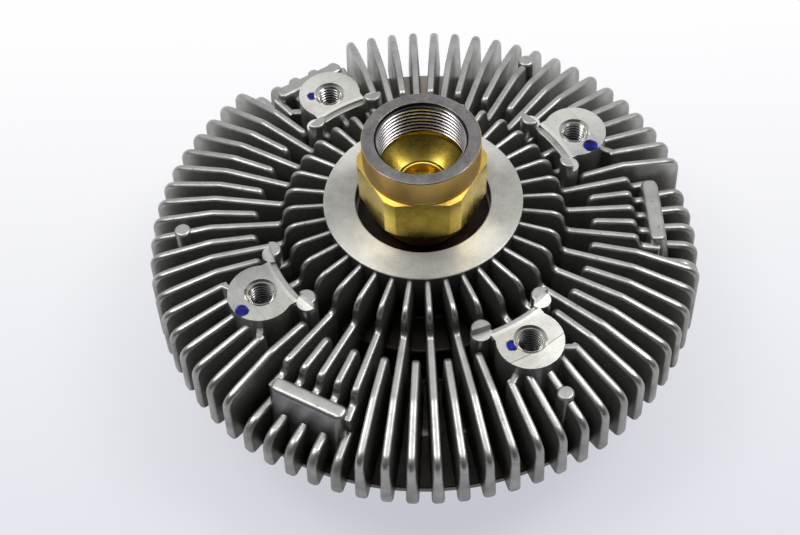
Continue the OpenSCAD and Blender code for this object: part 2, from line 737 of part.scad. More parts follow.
module pump_plate() {
    color("#9da0a4") difference() {
        translate([0, 0, plate_z]) cylinder(r = plate_r, h = plate_t);
        rotate(valve_angle) for (side = [-1, 1])
            translate([side * valve_reach, 0, plate_z - join]) cylinder(r = inlet_r, h = plate_t + 2 * join);
        round_about(rivet_count) translate([rivet_circle_r, 0, plate_z - join])
            cylinder(r = rivet_r + press_gap, h = plate_t + 2 * join);
    }
}

module pump_plate_rivets() {
    color("#7d8085") round_about(rivet_count) translate([rivet_circle_r, 0, 0]) {
        translate([0, 0, plate_z - rivet_l]) cylinder(r = rivet_r, h = rivet_l + plate_t + rivet_head_t / 2);
        translate([0, 0, plate_top_z]) cylinder(r = rivet_head_r, h = rivet_head_t);
    }
}

module pump_wiper() {
    color("#d9d4c4") {
        rotate(wiper_from) rotate_extrude(angle = wiper_angle)
            translate([channel_in_r + wiper_gap, cover_face_z])
                square([channel_w - 2 * wiper_gap, land_h]);
        rotate(wiper_from + wiper_angle / 2) translate([wiper_mid_r, 0, cover_face_z - wiper_peg_l])
            cylinder(r = wiper_peg_r, h = wiper_peg_l + join);
    }
}

// Valve: its shaft in the cover, the ring seal round the shaft and the arm under the pump plate
valve_arm_z = plate_z - 0.3 - valve_arm_t;
valve_collar_r = valve_shaft_r + 1.5;
valve_stub_r = valve_shaft_r - 1;
valve_end_z = well_edge_z + 0.4;
valve_seal_t = 0.96;
valve_seal_mid_r = valve_shaft_r - valve_seal_t / 2;
valve_seal_mid_z = well_floor_z + 2;
valve_groove_r = valve_shaft_r - valve_seal_t - run_gap;
valve_groove_h = valve_seal_t + 0.3;
valve_hub_r = valve_collar_r + 1;

module valve_shaft() {
    color("#9a9da2") difference() {
        union() {
            translate([0, 0, valve_end_z]) cylinder(r = valve_shaft_r, h = valve_arm_z - valve_end_z);
            translate([0, 0, valve_boss_z + 0.1]) cylinder(r = valve_collar_r, h = valve_arm_z - valve_boss_z - 0.1);
            translate([0, 0, valve_arm_z - join]) cylinder(r = valve_stub_r, h = valve_arm_t + join);
        }
        ring(valve_groove_r, valve_shaft_r + join, valve_seal_mid_z - valve_groove_h / 2, valve_groove_h);
    }
}

module valve_arm() {
    color("#b9bcc0") translate([0, 0, valve_arm_z]) linear_extrude(valve_arm_t) rotate(valve_angle)
        difference() {
            union() {
                circle(valve_hub_r);
                square([2 * valve_reach, valve_arm_w], center = true);
                for (side = [-1, 1]) translate([side * valve_reach, 0]) circle(valve_arm_w / 2);
            }
            circle(valve_stub_r + press_gap);
        }
}

module valve_shaft_seal() {
    color("#1d1b1a") rotate_extrude() translate([valve_seal_mid_r, valve_seal_mid_z])
        circle(valve_seal_t / 2, $fn = 32);
}

// Bimetal coil: an eye on the valve shaft, the turns, and an outer end in the anchor's slot
coil_eye_r = valve_shaft_r + run_gap;
coil_start_r = coil_eye_r + coil_t / 2;
coil_end_r = coil_start_r + coil_turns * coil_pitch;
coil_z = well_floor_z - 0.4 - coil_w;
coil_steps = 20;
coil_tail_l = 3.4;
function coil_point(turn, side) =
    (coil_start_r + turn * coil_pitch + side * coil_t / 2) * [cos(360 * turn), sin(360 * turn)];
coil_ticks = [0:1 / coil_steps:coil_turns];
coil_outline = concat(
    [for (turn = coil_ticks) coil_point(turn, 1)],
    [for (i = [0:coil_steps * coil_turns]) coil_point(coil_turns - i / coil_steps, -1)]);

// Anchor: a foot riveted to the floor of the well, and a post slotted for the coil's end
anchor_x = coil_end_r + coil_tail_l - 1.2;
anchor_w = 3;
anchor_post_l = 4.4;
anchor_foot_l = 9;
anchor_foot_t = 0.8;
anchor_rivet_y = -anchor_foot_l + 2.5;

module bimetal_coil() {
    color("#8a7f6c") translate([0, 0, coil_z]) linear_extrude(coil_w) {
        difference() {
            circle(coil_eye_r + coil_t);
            circle(coil_eye_r);
        }
        polygon(coil_outline);
        translate([coil_end_r - coil_t / 2, -coil_t / 2]) square([coil_tail_l, coil_t]);
    }
}

module coil_anchor() {
    slot_w = coil_t + 0.1;
    color("#85888c") rotate(anchor_angle) difference() {
        union() {
            translate([anchor_x - anchor_w / 2, -anchor_post_l / 2, coil_z])
                cube([anchor_w, anchor_post_l, well_floor_z - coil_z]);
            translate([anchor_x - anchor_w / 2, -anchor_foot_l, well_floor_z - anchor_foot_t])
                cube([anchor_w, anchor_foot_l, anchor_foot_t]);
        }
        translate([anchor_x - anchor_w, -slot_w / 2, coil_z - join])
            cube([2 * anchor_w, slot_w, coil_w + join + 0.1]);
        translate([anchor_x, anchor_rivet_y, well_floor_z - join - anchor_foot_t])
            cylinder(r = anchor_rivet_r + press_gap, h = anchor_foot_t + 2 * join);
    }
}

module anchor_rivet() {
    color("#9a9da2") rotate(anchor_angle) translate([anchor_x, anchor_rivet_y, 0]) {
        translate([0, 0, well_floor_z - anchor_foot_t - 0.6]) cylinder(r = anchor_rivet_r + 0.9, h = 0.6);
        translate([0, 0, well_floor_z - anchor_foot_t - 0.3])
            cylinder(r = anchor_rivet_r, h = anchor_foot_t + 0.3 + anchor_rivet_l);
    }
}

rear_body();
front_cover();
cover_seal();
input_shaft();
bearing_outer_ring();
bearing_inner_ring();
bearing_balls();
bearing_cage();
bearing_rear_seal();
bearing_front_seal();
bearing_retaining_ring();
rotor();
rotor_retaining_ring();
pump_plate();
pump_plate_rivets();
pump_wiper();
valve_shaft();
valve_arm();
valve_shaft_seal();
bimetal_coil();
coil_anchor();
anchor_rivet();
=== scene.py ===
import math

import bpy
from mathutils import Matrix, Vector


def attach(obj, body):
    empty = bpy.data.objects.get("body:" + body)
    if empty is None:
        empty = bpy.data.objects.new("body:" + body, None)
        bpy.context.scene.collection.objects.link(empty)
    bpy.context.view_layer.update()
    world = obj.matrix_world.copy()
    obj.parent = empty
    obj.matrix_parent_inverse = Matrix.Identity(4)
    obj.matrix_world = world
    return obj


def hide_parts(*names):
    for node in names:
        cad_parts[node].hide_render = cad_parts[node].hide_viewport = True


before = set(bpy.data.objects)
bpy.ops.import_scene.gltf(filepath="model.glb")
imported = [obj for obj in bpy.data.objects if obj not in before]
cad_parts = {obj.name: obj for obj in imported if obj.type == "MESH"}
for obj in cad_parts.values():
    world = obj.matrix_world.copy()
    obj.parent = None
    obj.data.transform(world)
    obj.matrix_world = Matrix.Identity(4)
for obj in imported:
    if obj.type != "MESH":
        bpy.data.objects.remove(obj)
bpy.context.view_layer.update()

# Turned body of the rear housing.
# An aluminium die casting: a flange with the bearing hub in its middle, a drum below it for the
# rotor and cover, and ring-shaped lands inside. The ring face on top is turned bright.
mm = 0.001
ring_z = 62.0
hub_r = 31.25
floor_z = 29.4
rim_floor_z = 28.4
lathe_steps = 180


def only(piece):
    """Selects one piece and nothing else."""
    bpy.ops.object.select_all(action="DESELECT")
    piece.select_set(True)
    bpy.context.view_layer.objects.active = piece


def outline(name, points):
    """Draws a closed outline in the XZ plane: a circle whose points are moved to where they belong."""
    bpy.ops.object.select_all(action="DESELECT")
    bpy.ops.mesh.primitive_circle_add(vertices=len(points), radius=mm, fill_type="NOTHING")
    piece = bpy.context.object
    piece.name = name
    for vertex, (across, up) in zip(piece.data.vertices, points):
        vertex.co = (across * mm, 0, up * mm)
    return piece


def merge(piece):
    """Closes seams, drops flat scraps and turns the faces outwards."""
    only(piece)
    bpy.ops.object.mode_set(mode="EDIT")
    bpy.ops.mesh.select_all(action="SELECT")
    bpy.ops.mesh.remove_doubles(threshold=0.002 * mm)
    bpy.ops.mesh.dissolve_degenerate(threshold=0.001 * mm)
    bpy.ops.mesh.normals_make_consistent(inside=False)
    bpy.ops.object.mode_set(mode="OBJECT")
    return piece


def turned(name, points, steps=lathe_steps):
    """Spins an outline once round the Z axis."""
    piece = outline(name, points)
    only(piece)
    bpy.ops.object.mode_set(mode="EDIT")
    bpy.ops.mesh.select_all(action="SELECT")
    bpy.ops.mesh.spin(steps=steps, angle=2 * math.pi, center=(0, 0, 0), axis=(0, 0, 1))
    bpy.ops.object.mode_set(mode="OBJECT")
    return merge(piece)


def arc(across, up, radius, start, end, steps=4):
    """Points of a round stretch of an outline, between two directions in degrees."""
    angles = [math.radians(start + (end - start) * i / steps) for i in range(steps + 1)]
    return [(across + radius * math.cos(a), up + radius * math.sin(a)) for a in angles]


land_w = 1.6
land_pitch = 4.4
land_from = 43.2
ceiling_z = 25.0
land_tip_z = 21.0
land_count = 6
housing_lands = []
for i in reversed(range(land_count)):
    land_r = land_from + i * land_pitch
    housing_lands += [(land_r + land_w / 2, ceiling_z), (land_r + land_w / 2, land_tip_z)]
    housing_lands += [(land_r - land_w / 2, land_tip_z), (land_r - land_w / 2, ceiling_z)]

housing = turned("rear_casting", [
    # Ring face and hub wall
    *arc(21.6, 61.6, 0.4, 180, 90),
    *arc(30.85, 61.6, 0.4, 90, 0),
    # Step at the hub, and the floor between the fins
    *arc(32.25, 43, 1, 180, 270),
    *arc(43.6, 40.8, 1.2, 90, 0),
    *arc(47.5, 30.9, 1.5, 180, 270),
    (64, floor_z), (66, rim_floor_z),
    # Rim of the flange, and the drum with its rolled edge
    *arc(83.3, 27.9, 0.5, 90, 0), *arc(83.3, 26.3, 0.5, 0, -90),
    *arc(76.2, 24.6, 1.2, 90, 180), *arc(73.8, 11, 1.2, 0, -90), (70.6, 9.8), (70.6, 11),
    # Seat of the cover, and the rotor's chamber with its lands
    (73, 11), (73, 15.5), (69.5, 15.5), (69.5, ceiling_z), *housing_lands,
    # Seat of the bearing, with the groove of its snap ring
    (39, ceiling_z), (39, 36), (23.5, 36), (23.5, 39.2), (25, 39.2), (25, 41),
    (23.5, 41), (23.5, 55), (21.2, 55)])

# Fins of the rear housing.
# Cast in one with it: 72 drafted blades, long and short by turns, with edges rounded by the die.
# The long ones climb to the hub in one step, and all fall off towards rounded tips.
fin_foot_z = 26.9
fin_tip_r = 88.8
fin_count = 72
fin_flat_z = 52.4
fin_top_w = 1.7
fin_foot_w = 4.05
fin_edge_r = 1.35


def bar_from(piece, width):
    """Makes a flat outline a bar that is as wide across Y as width says for each height."""
    only(piece)
    bpy.ops.object.mode_set(mode="EDIT")
    bpy.ops.mesh.select_all(action="SELECT")
    bpy.ops.mesh.edge_face_add()
    bpy.ops.mesh.extrude_region_move(TRANSFORM_OT_translate={"value": (0, 2 * mm, 0)})
    bpy.ops.object.mode_set(mode="OBJECT")
    for vertex in piece.data.vertices:
        side = 1 if vertex.co.y > mm else -1
        vertex.co.y = side * width(vertex.co.z / mm) / 2 * mm
    return merge(piece)


def round_edges(piece, radius, segments=3, angle=40):
    """Rounds every edge that is sharper than angle."""
    only(piece)
    bevel = piece.modifiers.new("round", "BEVEL")
    bevel.width = radius * mm
    bevel.segments = segments
    bevel.limit_method = "ANGLE"
    bevel.angle_limit = math.radians(angle)
    bevel.use_clamp_overlap = True
    bpy.ops.object.modifier_apply(modifier=bevel.name)
    return merge(piece)


def round_weighted(piece, radius, share):
    """Rounds edges by the share of radius that share gives for an edge's two ends."""
    only(piece)
    weights = piece.data.attributes.new("bevel_weight_edge", "FLOAT", "EDGE")
    for edge in piece.data.edges:
        ends = [piece.data.vertices[i].co / mm for i in edge.vertices]
        weights.data[edge.index].value = share(*ends)
    bevel = piece.modifiers.new("round", "BEVEL")
    bevel.width = radius * mm
    bevel.segments = 4
    bevel.limit_method = "WEIGHT"
    bpy.ops.object.modifier_apply(modifier=bevel.name)
    piece.data.attributes.remove(piece.data.attributes["bevel_weight_edge"])
    return merge(piece)


def fin_share(a, b):
    """A fin's long edges are rounded more at its outer end than along its top."""
    if a.y * b.y < 0:
        return 0
    return 1 if min(a.x, b.x) > 80 or max(a.z, b.z) < 42 else 0.6


def fin_width(z):
    """Draft of a fin: narrow at the top, wide at the foot."""
    return fin_top_w + (fin_foot_w - fin_top_w) * (ring_z - z) / (ring_z - fin_foot_z)


fin_fall = math.radians(13.5)
fall_r = 68.0
nose_r = 5.5
nose_centre_r = 82.84
nose_z = fin_flat_z - (nose_centre_r - fall_r) * math.tan(fin_fall) - nose_r / math.cos(fin_fall)
fin_foot_end = arc(fin_tip_r - 1.54, fin_foot_z + 1.5, 1.5, 1.5, -90)
fin_end = [*arc(nose_centre_r, nose_z, nose_r, 76.5, 1.5, 6), *fin_foot_end]
fin_foot_long = [(43, fin_foot_z), (43, 40), (30.25, 40)]
hub_end = [(30.25, 60.7), *arc(39.9, 56, 4.7, 90, 10, 6), *arc(46.9, 54.4, 2, 190, 270, 5)]
short_end = [(52.9, fin_foot_z), *arc(55.1, 50.2, 2.2, 180, 90, 5)]
fall_start = arc(67.05, 44.4, 8, 90, 76.5, 3)
notch_r = 64.9
notch_z = 48.0
finger_r = 74.0
finger_z = 41.4
pad_reach = 11
from_boss = 10
bent_inner_r = 50.0
bent_outer_r = 65.8


def near_pad(turn):
    """Top of a fin that meets a pad: a notch inside the pad, and a low finger outside it."""
    lean = math.cos(math.radians(turn))
    notch = [*arc(notch_r / lean, 49.9, 2.5, 90, 15, 5), *arc(notch_r / lean + 4.6, 50, 2, 195, 270, 4)]
    finger = [(finger_r / lean, notch_z), (finger_r / lean, finger_z), *arc(82.3, 35, 6.2, 82, 1.5, 8)]
    return notch, finger + fin_foot_end


fins = []
for i in range(fin_count):
    turn = i * 360 / fin_count - 90
    from_pad = (turn + 60) % 120 - 60
    beside_boss = abs((turn + 15) % 90 - 45) == from_boss
    meets_pad = abs(from_pad) < pad_reach
    first, rest = near_pad(from_pad) if meets_pad else (fall_start[:1], fall_start[1:] + fin_end)
    tip = first + rest
    stretches = [hub_end + tip + fin_foot_long] if i % 2 == 0 else [short_end + tip]
    if beside_boss:
        # Two stretches, inside and outside the boss: the outer one starts where the fin bends
        bend_top_z = notch_z if meets_pad else fin_flat_z
        start = [(bent_outer_r, fin_foot_z), (bent_outer_r, bend_top_z)]
        inner = hub_end + [(bent_inner_r, fin_flat_z), (bent_inner_r, fin_foot_z)] + fin_foot_long
        stretches = [inner, start + rest]
    for points in stretches:
        fin = bar_from(outline(f"fin_{i}", points), fin_width)
        round_weighted(fin, fin_edge_r, fin_share)
        fin.data.transform(Matrix.Rotation(math.radians(turn), 4, "Z"))
        fins.append(fin)


def unite(base, others, operation="UNION"):
    """Joins the others to base, cuts them out of it or keeps what they share, and deletes them."""
    for other in others:
        only(base)
        cut = base.modifiers.new("unite", "BOOLEAN")
        cut.operation = operation
        cut.solver = "MANIFOLD"
        cut.object = other
        bpy.ops.object.modifier_apply(modifier=cut.name)
        bpy.data.objects.remove(other)
    return base


def joined(pieces):
    """Puts pieces that don't touch into one mesh."""
    only(pieces[0])
    for piece in pieces:
        piece.select_set(True)
    bpy.ops.object.join()
    return pieces[0]


unite(housing, [joined(fins)])

# Fan bosses with their ledges and ears.
# Four lugs of the casting, turned flat on top and tapped. The step that centres the fan is turned
# at the inner end, and into the rounded ears beside it. The fins beside a lug bend into its wall.
boss_circle_r = 58.7
boss_z = 56.3
boss_foot_z = 28.0
boss_turns = (-60, 30, 120, 210)
boss_behind_pad = 120
lug_r = 10.3
lug_foot_r = 10.8
lug_inner_r = 51.4
neck_side = 8.9
ledge_inner_r = 49.6
ledge_side = 9.2
ledge_z = 55.4
ear_x = 48.7
ear_y = 10.8
ear_r = 3.1
ear_foot_r = 3.4
ear_z = 59.1
pilot_r = 50.0
bend_r = 67.2
bend_turn = math.radians(from_boss)
web_start = 9.0


def post(name, x, y, radius, top_z, foot_radius):
    """A round post of the casting with a little draft."""
    bpy.ops.object.select_all(action="DESELECT")
    height = top_z - boss_foot_z
    middle_z = (boss_foot_z + height / 2) * mm
    bpy.ops.mesh.primitive_cone_add(vertices=40, radius1=foot_radius * mm, radius2=radius * mm,
                                    depth=height * mm, location=(x * mm, y * mm, middle_z))
    piece = bpy.context.object
    piece.name = name
    bpy.ops.object.transform_apply(location=True)
    return piece


def block(name, x0, x1, y0, y1, z0, z1):
    """A box between two corners."""
    bpy.ops.object.select_all(action="DESELECT")
    middle = ((x0 + x1) / 2 * mm, (y0 + y1) / 2 * mm, (z0 + z1) / 2 * mm)
    bpy.ops.mesh.primitive_cube_add(size=mm, location=middle, scale=(x1 - x0, y1 - y0, z1 - z0))
    piece = bpy.context.object
    piece.name = name
    bpy.ops.object.transform_apply(location=True, scale=True)
    return piece


def cutter(inner_r, outer_r, low_z, high_z):
    """The ring that a cutter on the lathe sweeps."""
    return turned("cutter", [(inner_r, low_z), (outer_r, low_z), (outer_r, high_z), (inner_r, high_z)])


for turn in boss_turns:
    lug = post("lug", boss_circle_r, 0, lug_r, boss_z, lug_foot_r)
    unite(lug, [block("neck", 48, boss_circle_r, -neck_side, neck_side, boss_foot_z, boss_z)])
    unite(lug, [cutter(30, lug_inner_r, 27, 60)], "DIFFERENCE")
    round_edges(lug, 0.15, 2, 50)
    ledge = block("ledge", 47, 52.5, -ledge_side, ledge_side, boss_foot_z, ledge_z)
    unite(ledge, [cutter(30, ledge_inner_r, 27, 60)], "DIFFERENCE")
    unite(lug, [round_edges(ledge, 0.45, 3, 50)])
    for side in (-1, 1):
        ear = round_edges(post("ear", ear_x, side * ear_y, ear_r, ear_z, ear_foot_r), 0.7)
        unite(ear, [cutter(pilot_r, 70, boss_z, 62)], "DIFFERENCE")
        unite(lug, [ear])
        bend_x, bend_y = bend_r * Vector((math.cos(bend_turn), side * math.sin(bend_turn)))
        web_turn = math.atan2(bend_y, bend_x - boss_circle_r)
        web_l = math.hypot(bend_y, bend_x - boss_circle_r)
        bend_z = notch_z if turn == boss_behind_pad else fin_flat_z
        web = outline("web", [(web_start, fin_foot_z), (web_l, fin_foot_z), (web_l, bend_z),
                              (web_start, bend_z)])
        bar_from(web, fin_width)
        round_edges(web, 0.7)
        web.data.transform(Matrix.Rotation(web_turn, 4, "Z"))
        web.data.transform(Matrix.Translation((boss_circle_r * mm, 0, 0)))
        elbow = post("elbow", bend_x, bend_y, fin_width(bend_z) / 2, bend_z, fin_width(boss_foot_z) / 2)
        unite(lug, [web, round_edges(elbow, 0.7)])
    lug.data.transform(Matrix.Rotation(math.radians(turn), 4, "Z"))
    unite(housing, [lug])

# Tapped holes in the bosses.
# Drilled and countersunk: the wall is drawn at the outer radius of the thread, and the thread's
# ridge is a piece of its own that winds down it.
hole_r = 4.05
hole_floor_z = 37.7
sink_r = 5.1
sink_z = 55.3
for turn in boss_turns:
    hole = turned("hole", [(0, 36.2), (hole_r, hole_floor_z), (hole_r, sink_z), (sink_r, boss_z),
                           (sink_r, 57), (0, 57)], 64)
    hole.data.transform(Matrix.Translation((boss_circle_r * mm, 0, 0)))
    hole.data.transform(Matrix.Rotation(math.radians(turn), 4, "Z"))
    unite(housing, [hole], "DIFFERENCE")

# Pads and pips.
# Three short bars across the fins near the rim and three round pips between them, where the die's
# pins push the casting out. Their edges are rounded well.
pad_z = 50.5
pad_foot_z = 28
pad_l = 24.8
pad_draft = 0.08
pad_edge_r = 2.45
pip_r = 2.65
pip_foot_r = 3.0
pip_circle_r = 77
pip_z = 51.5


def pad_share(a, b):
    """A pad's upright edges are rounded more than those of its top."""
    if abs(a.z - b.z) > 10:
        return 1
    return 0.55 if min(a.z, b.z) > 50 else 0


def pad_length(z):
    """Draft of a pad along the rim."""
    return pad_l + pad_draft * (pad_z - z)


for turn in (0, 120, 240):
    pad = outline("pad", [(70.9, pad_z), (76.0, pad_z), (79.8, pad_foot_z), (69.3, pad_foot_z)])
    pad = round_weighted(bar_from(pad, pad_length), pad_edge_r, pad_share)
    pad.data.transform(Matrix.Rotation(math.radians(turn), 4, "Z"))
    pip = round_edges(post("pip", pip_circle_r, 0, pip_r, pip_z, pip_foot_r), 0.9, 4)
    pip.data.transform(Matrix.Rotation(math.radians(turn + 60), 4, "Z"))
    unite(housing, [pad, pip])

merge(housing)


def finish_shading(piece, angle=35, mode="FACE_AREA"):
    """Smooths rounded faces and keeps flat faces flat."""
    only(piece)
    bpy.ops.object.shade_smooth_by_angle(angle=math.radians(angle))
    weigh = piece.modifiers.new("weigh", "WEIGHTED_NORMAL")
    weigh.mode = mode
    weigh.keep_sharp = True
    bpy.ops.object.modifier_apply(modifier=weigh.name)


finish_shading(housing)


def hue(code):
    """Turns an sRGB hex value into linear colour."""
    parts = [int(code[i:i + 2], 16) / 255 for i in (1, 3, 5)]
    return (*[p / 12.92 if p <= 0.04045 else ((p + 0.055) / 1.055) ** 2.4 for p in parts], 1.0)


def put(tree, kind, sockets=None, stops=(), **settings):
    """Adds a node with its settings, values, links and colour stops, and gives it back."""
    node = tree.nodes.new(kind)
    for name, value in settings.items():
        setattr(node, name, value)
    for name, value in (sockets or {}).items():
        if isinstance(value, bpy.types.NodeSocket):
            tree.links.new(value, node.inputs[name])
        else:
            node.inputs[name].default_value = value
    for position, _ in stops[1:-1]:
        node.color_ramp.elements.new(position)
    for i, (position, code) in enumerate(stops):
        node.color_ramp.elements[i].position = position
        node.color_ramp.elements[i].color = hue(code)
    return node


def surface(name, **values):
    """A new material with its Principled shader, and the Object coordinates that its patterns read."""
    material = bpy.data.materials.new(name)
    material.use_nodes = True
    tree = material.node_tree
    shader = tree.nodes["Principled BSDF"]
    for socket, value in values.items():
        shader.inputs[socket.replace("_", " ")].default_value = value
    coords = put(tree, "ShaderNodeTexCoord").outputs["Object"]
    return material, tree, shader, coords


# Die-cast aluminium as it leaves the die: a grey satin skin, finely pitted, with painted shade that
# darkens it down between the fins. Grain about 0.5 mm, mottling about 7 mm. The fins' outer ends are kept
# out of the painted shade, and are a little rougher because hands wear them. Painted shade is darkest on
# low walls that face outwards. On the floor between the fins painted shade darkens the -Y side of the part
# and painted light brightens the +Y side, and its step, 65 mm from the axis, has painted glints in patches.
die_cast, tree, shader, coords = surface("die_cast_aluminium", Metallic=0.9)
place = put(tree, "ShaderNodeSeparateXYZ", {0: coords})
facing = put(tree, "ShaderNodeTexCoord").outputs["Normal"]
normal = put(tree, "ShaderNodeSeparateXYZ", {0: facing})
level = put(tree, "ShaderNodeVectorMath", {0: coords, 1: (1, 1, 0)}, operation="MULTIPLY")
from_axis = put(tree, "ShaderNodeVectorMath", {0: level.outputs[0]}, operation="LENGTH").outputs["Value"]
mottle = put(tree, "ShaderNodeTexNoise", {"Vector": coords, "Scale": 140, "Detail": 5, "Roughness": 0.6})
grain = put(tree, "ShaderNodeTexNoise", {"Vector": coords, "Scale": 1900, "Detail": 3})
pits = put(tree, "ShaderNodeTexNoise", {"Vector": coords, "Scale": 900, "Detail": 1})
skin = put(tree, "ShaderNodeValToRGB", {0: mottle.outputs["Fac"]},
           stops=((0.3, "#9c9c99"), (0.7, "#bfbfbb")))
# Height above the floor between the fins, which steps down 45 mm from the axis
bottom = put(tree, "ShaderNodeMapRange", {0: from_axis, 1: 0.0448, 2: 0.0465, 3: 0.04, 4: 0.0275})
rise = put(tree, "ShaderNodeMath", {0: place.outputs["Z"], 1: bottom.outputs[0]}, operation="SUBTRACT")
depth = put(tree, "ShaderNodeMapRange", {0: rise.outputs[0], 1: 0.003, 2: 0.022, 3: 0.0, 4: 1.0})
# Faces kept out of the painted shade: tops, the fins' outer ends, and all that is below the flange
upward = put(tree, "ShaderNodeMapRange", {0: normal.outputs["Z"], 1: 0.15, 2: 0.75, 3: 0.0, 4: 1.0})
off_floor = put(tree, "ShaderNodeMapRange", {0: rise.outputs[0], 1: 0.006, 2: 0.012, 3: 0.0, 4: 1.0})
top = put(tree, "ShaderNodeMath", {0: upward.outputs[0], 1: off_floor.outputs[0]}, operation="MULTIPLY")
out_dir = put(tree, "ShaderNodeVectorMath", {0: level.outputs[0]}, operation="NORMALIZE")
outward = put(tree, "ShaderNodeVectorMath", {0: out_dir.outputs[0], 1: facing}, operation="DOT_PRODUCT")
on_end = put(tree, "ShaderNodeMapRange", {0: outward.outputs["Value"], 1: 0.2, 2: 0.7, 3: 0.0, 4: 0.66})
handled_and_unshaded_end = put(tree, "ShaderNodeMapRange", {0: from_axis, 1: 0.0835, 2: 0.0875, 3: 0.0, 4: on_end.outputs[0]})
open_face = put(tree, "ShaderNodeMath", {0: top.outputs[0], 1: handled_and_unshaded_end.outputs[0]}, operation="MAXIMUM")
below = put(tree, "ShaderNodeMapRange", {0: place.outputs["Z"], 1: 0.0235, 2: 0.0255, 3: 1.0, 4: 0.0})
outside = put(tree, "ShaderNodeMath", {0: open_face.outputs[0], 1: below.outputs[0]}, operation="MAXIMUM")
lit = put(tree, "ShaderNodeMath", {0: depth.outputs[0], 1: outside.outputs[0]}, operation="MAXIMUM")
painted_shade = put(tree, "ShaderNodeValToRGB", {0: lit.outputs[0]},
           stops=((0, "#7e7973"), (0.5, "#e2dfda"), (1, "#ffffff")))
pitted = put(tree, "ShaderNodeMapRange", {0: pits.outputs["Fac"], 1: 0.7, 2: 0.76, 3: 1.0, 4: 0.5})
tint = put(tree, "ShaderNodeVectorMath", {0: skin.outputs[0], 1: painted_shade.outputs[0]}, operation="MULTIPLY")
# Painted shade in the bearing's seat and on low walls that face outwards; painted shade and painted light on
# the floor between the fins
painted_seat_shade = put(tree, "ShaderNodeMapRange", {0: from_axis, 1: 0.0214, 2: 0.0218, 3: 0.2, 4: 1.0})
low_wall = put(tree, "ShaderNodeMapRange", {0: place.outputs["Z"], 1: 0.039, 2: 0.045, 3: 0.08, 4: 0.6})
shelter = put(tree, "ShaderNodeMapRange", {0: outward.outputs["Value"], 1: 0.5, 2: 0.9, 3: 1.0,
                                           4: low_wall.outputs[0]})
behind = put(tree, "ShaderNodeMapRange", {0: from_axis, 1: 0.0805, 2: 0.0825, 3: 0.0, 4: 1.0})
behind = put(tree, "ShaderNodeMath", {0: behind.outputs[0], 1: below.outputs[0]}, operation="MAXIMUM")
sheltered = put(tree, "ShaderNodeMath", {0: shelter.outputs[0], 1: behind.outputs[0]}, operation="MAXIMUM")
# Painted shade on the floor's -Y side and painted light on its +Y side
painted_floor_shading = put(tree, "ShaderNodeMapRange", {0: place.outputs["Y"], 1: -0.03, 2: 0.075, 3: 0.25, 4: 4.2})
# Painted glints in patches on the floor's step, 65 mm from the axis
from_step = put(tree, "ShaderNodeMath", {0: from_axis, 1: 0.0651}, operation="SUBTRACT")
from_step = put(tree, "ShaderNodeMath", {0: from_step.outputs[0]}, operation="ABSOLUTE")
on_step = put(tree, "ShaderNodeMapRange", {0: from_step.outputs[0], 1: 0.0008, 2: 0.0011, 3: 1.0, 4: 0.0})
painted_step_glint = put(tree, "ShaderNodeMapRange", {0: mottle.outputs["Fac"], 1: 0.5, 2: 0.6, 3: 0.0, 4: 2.5})
painted_floor_shading = put(tree, "ShaderNodeMath", {0: on_step.outputs[0], 1: painted_step_glint.outputs[0], 2: painted_floor_shading.outputs[0]},
           operation="MULTIPLY_ADD")
near_floor = put(tree, "ShaderNodeMapRange", {0: rise.outputs[0], 1: 0.002, 2: 0.006, 3: 1.0, 4: 0.0})
flat_floor = put(tree, "ShaderNodeMath", {0: near_floor.outputs[0], 1: upward.outputs[0]},
                 operation="MULTIPLY")
floor_tone = put(tree, "ShaderNodeMapRange", {0: flat_floor.outputs[0], 1: 0.0, 2: 1.0, 3: 1.0,
                                              4: painted_floor_shading.outputs[0]})
# Pits darken the colour, and the painted shade and painted light scale it as well
darkening = put(tree, "ShaderNodeMath", {0: pitted.outputs[0], 1: painted_seat_shade.outputs[0]}, operation="MULTIPLY")
darkening = put(tree, "ShaderNodeMath", {0: darkening.outputs[0], 1: sheltered.outputs[0]}, operation="MULTIPLY")
darkening = put(tree, "ShaderNodeMath", {0: darkening.outputs[0], 1: floor_tone.outputs[0]}, operation="MULTIPLY")
tint = put(tree, "ShaderNodeVectorMath", {0: tint.outputs[0], "Scale": darkening.outputs[0]}, operation="SCALE")
tree.links.new(tint.outputs[0], shader.inputs["Base Color"])
# Gloss follows the mottling, and is less low down on the fins' outer ends
satin = put(tree, "ShaderNodeMapRange", {0: mottle.outputs["Fac"], 1: 0.3, 2: 0.7, 3: 0.42, 4: 0.3})
low = put(tree, "ShaderNodeMapRange", {0: place.outputs["Z"], 1: 0.037, 2: 0.042, 3: 0.25, 4: 0.0})
rubbed = put(tree, "ShaderNodeMath", {0: handled_and_unshaded_end.outputs[0], 1: low.outputs[0], 2: satin.outputs[0]},
             operation="MULTIPLY_ADD")
tree.links.new(rubbed.outputs[0], shader.inputs["Roughness"])
bump = put(tree, "ShaderNodeBump", {"Strength": 0.4, "Distance": 0.00008, "Height": grain.outputs["Fac"]})
tree.links.new(bump.outputs[0], shader.inputs["Normal"])

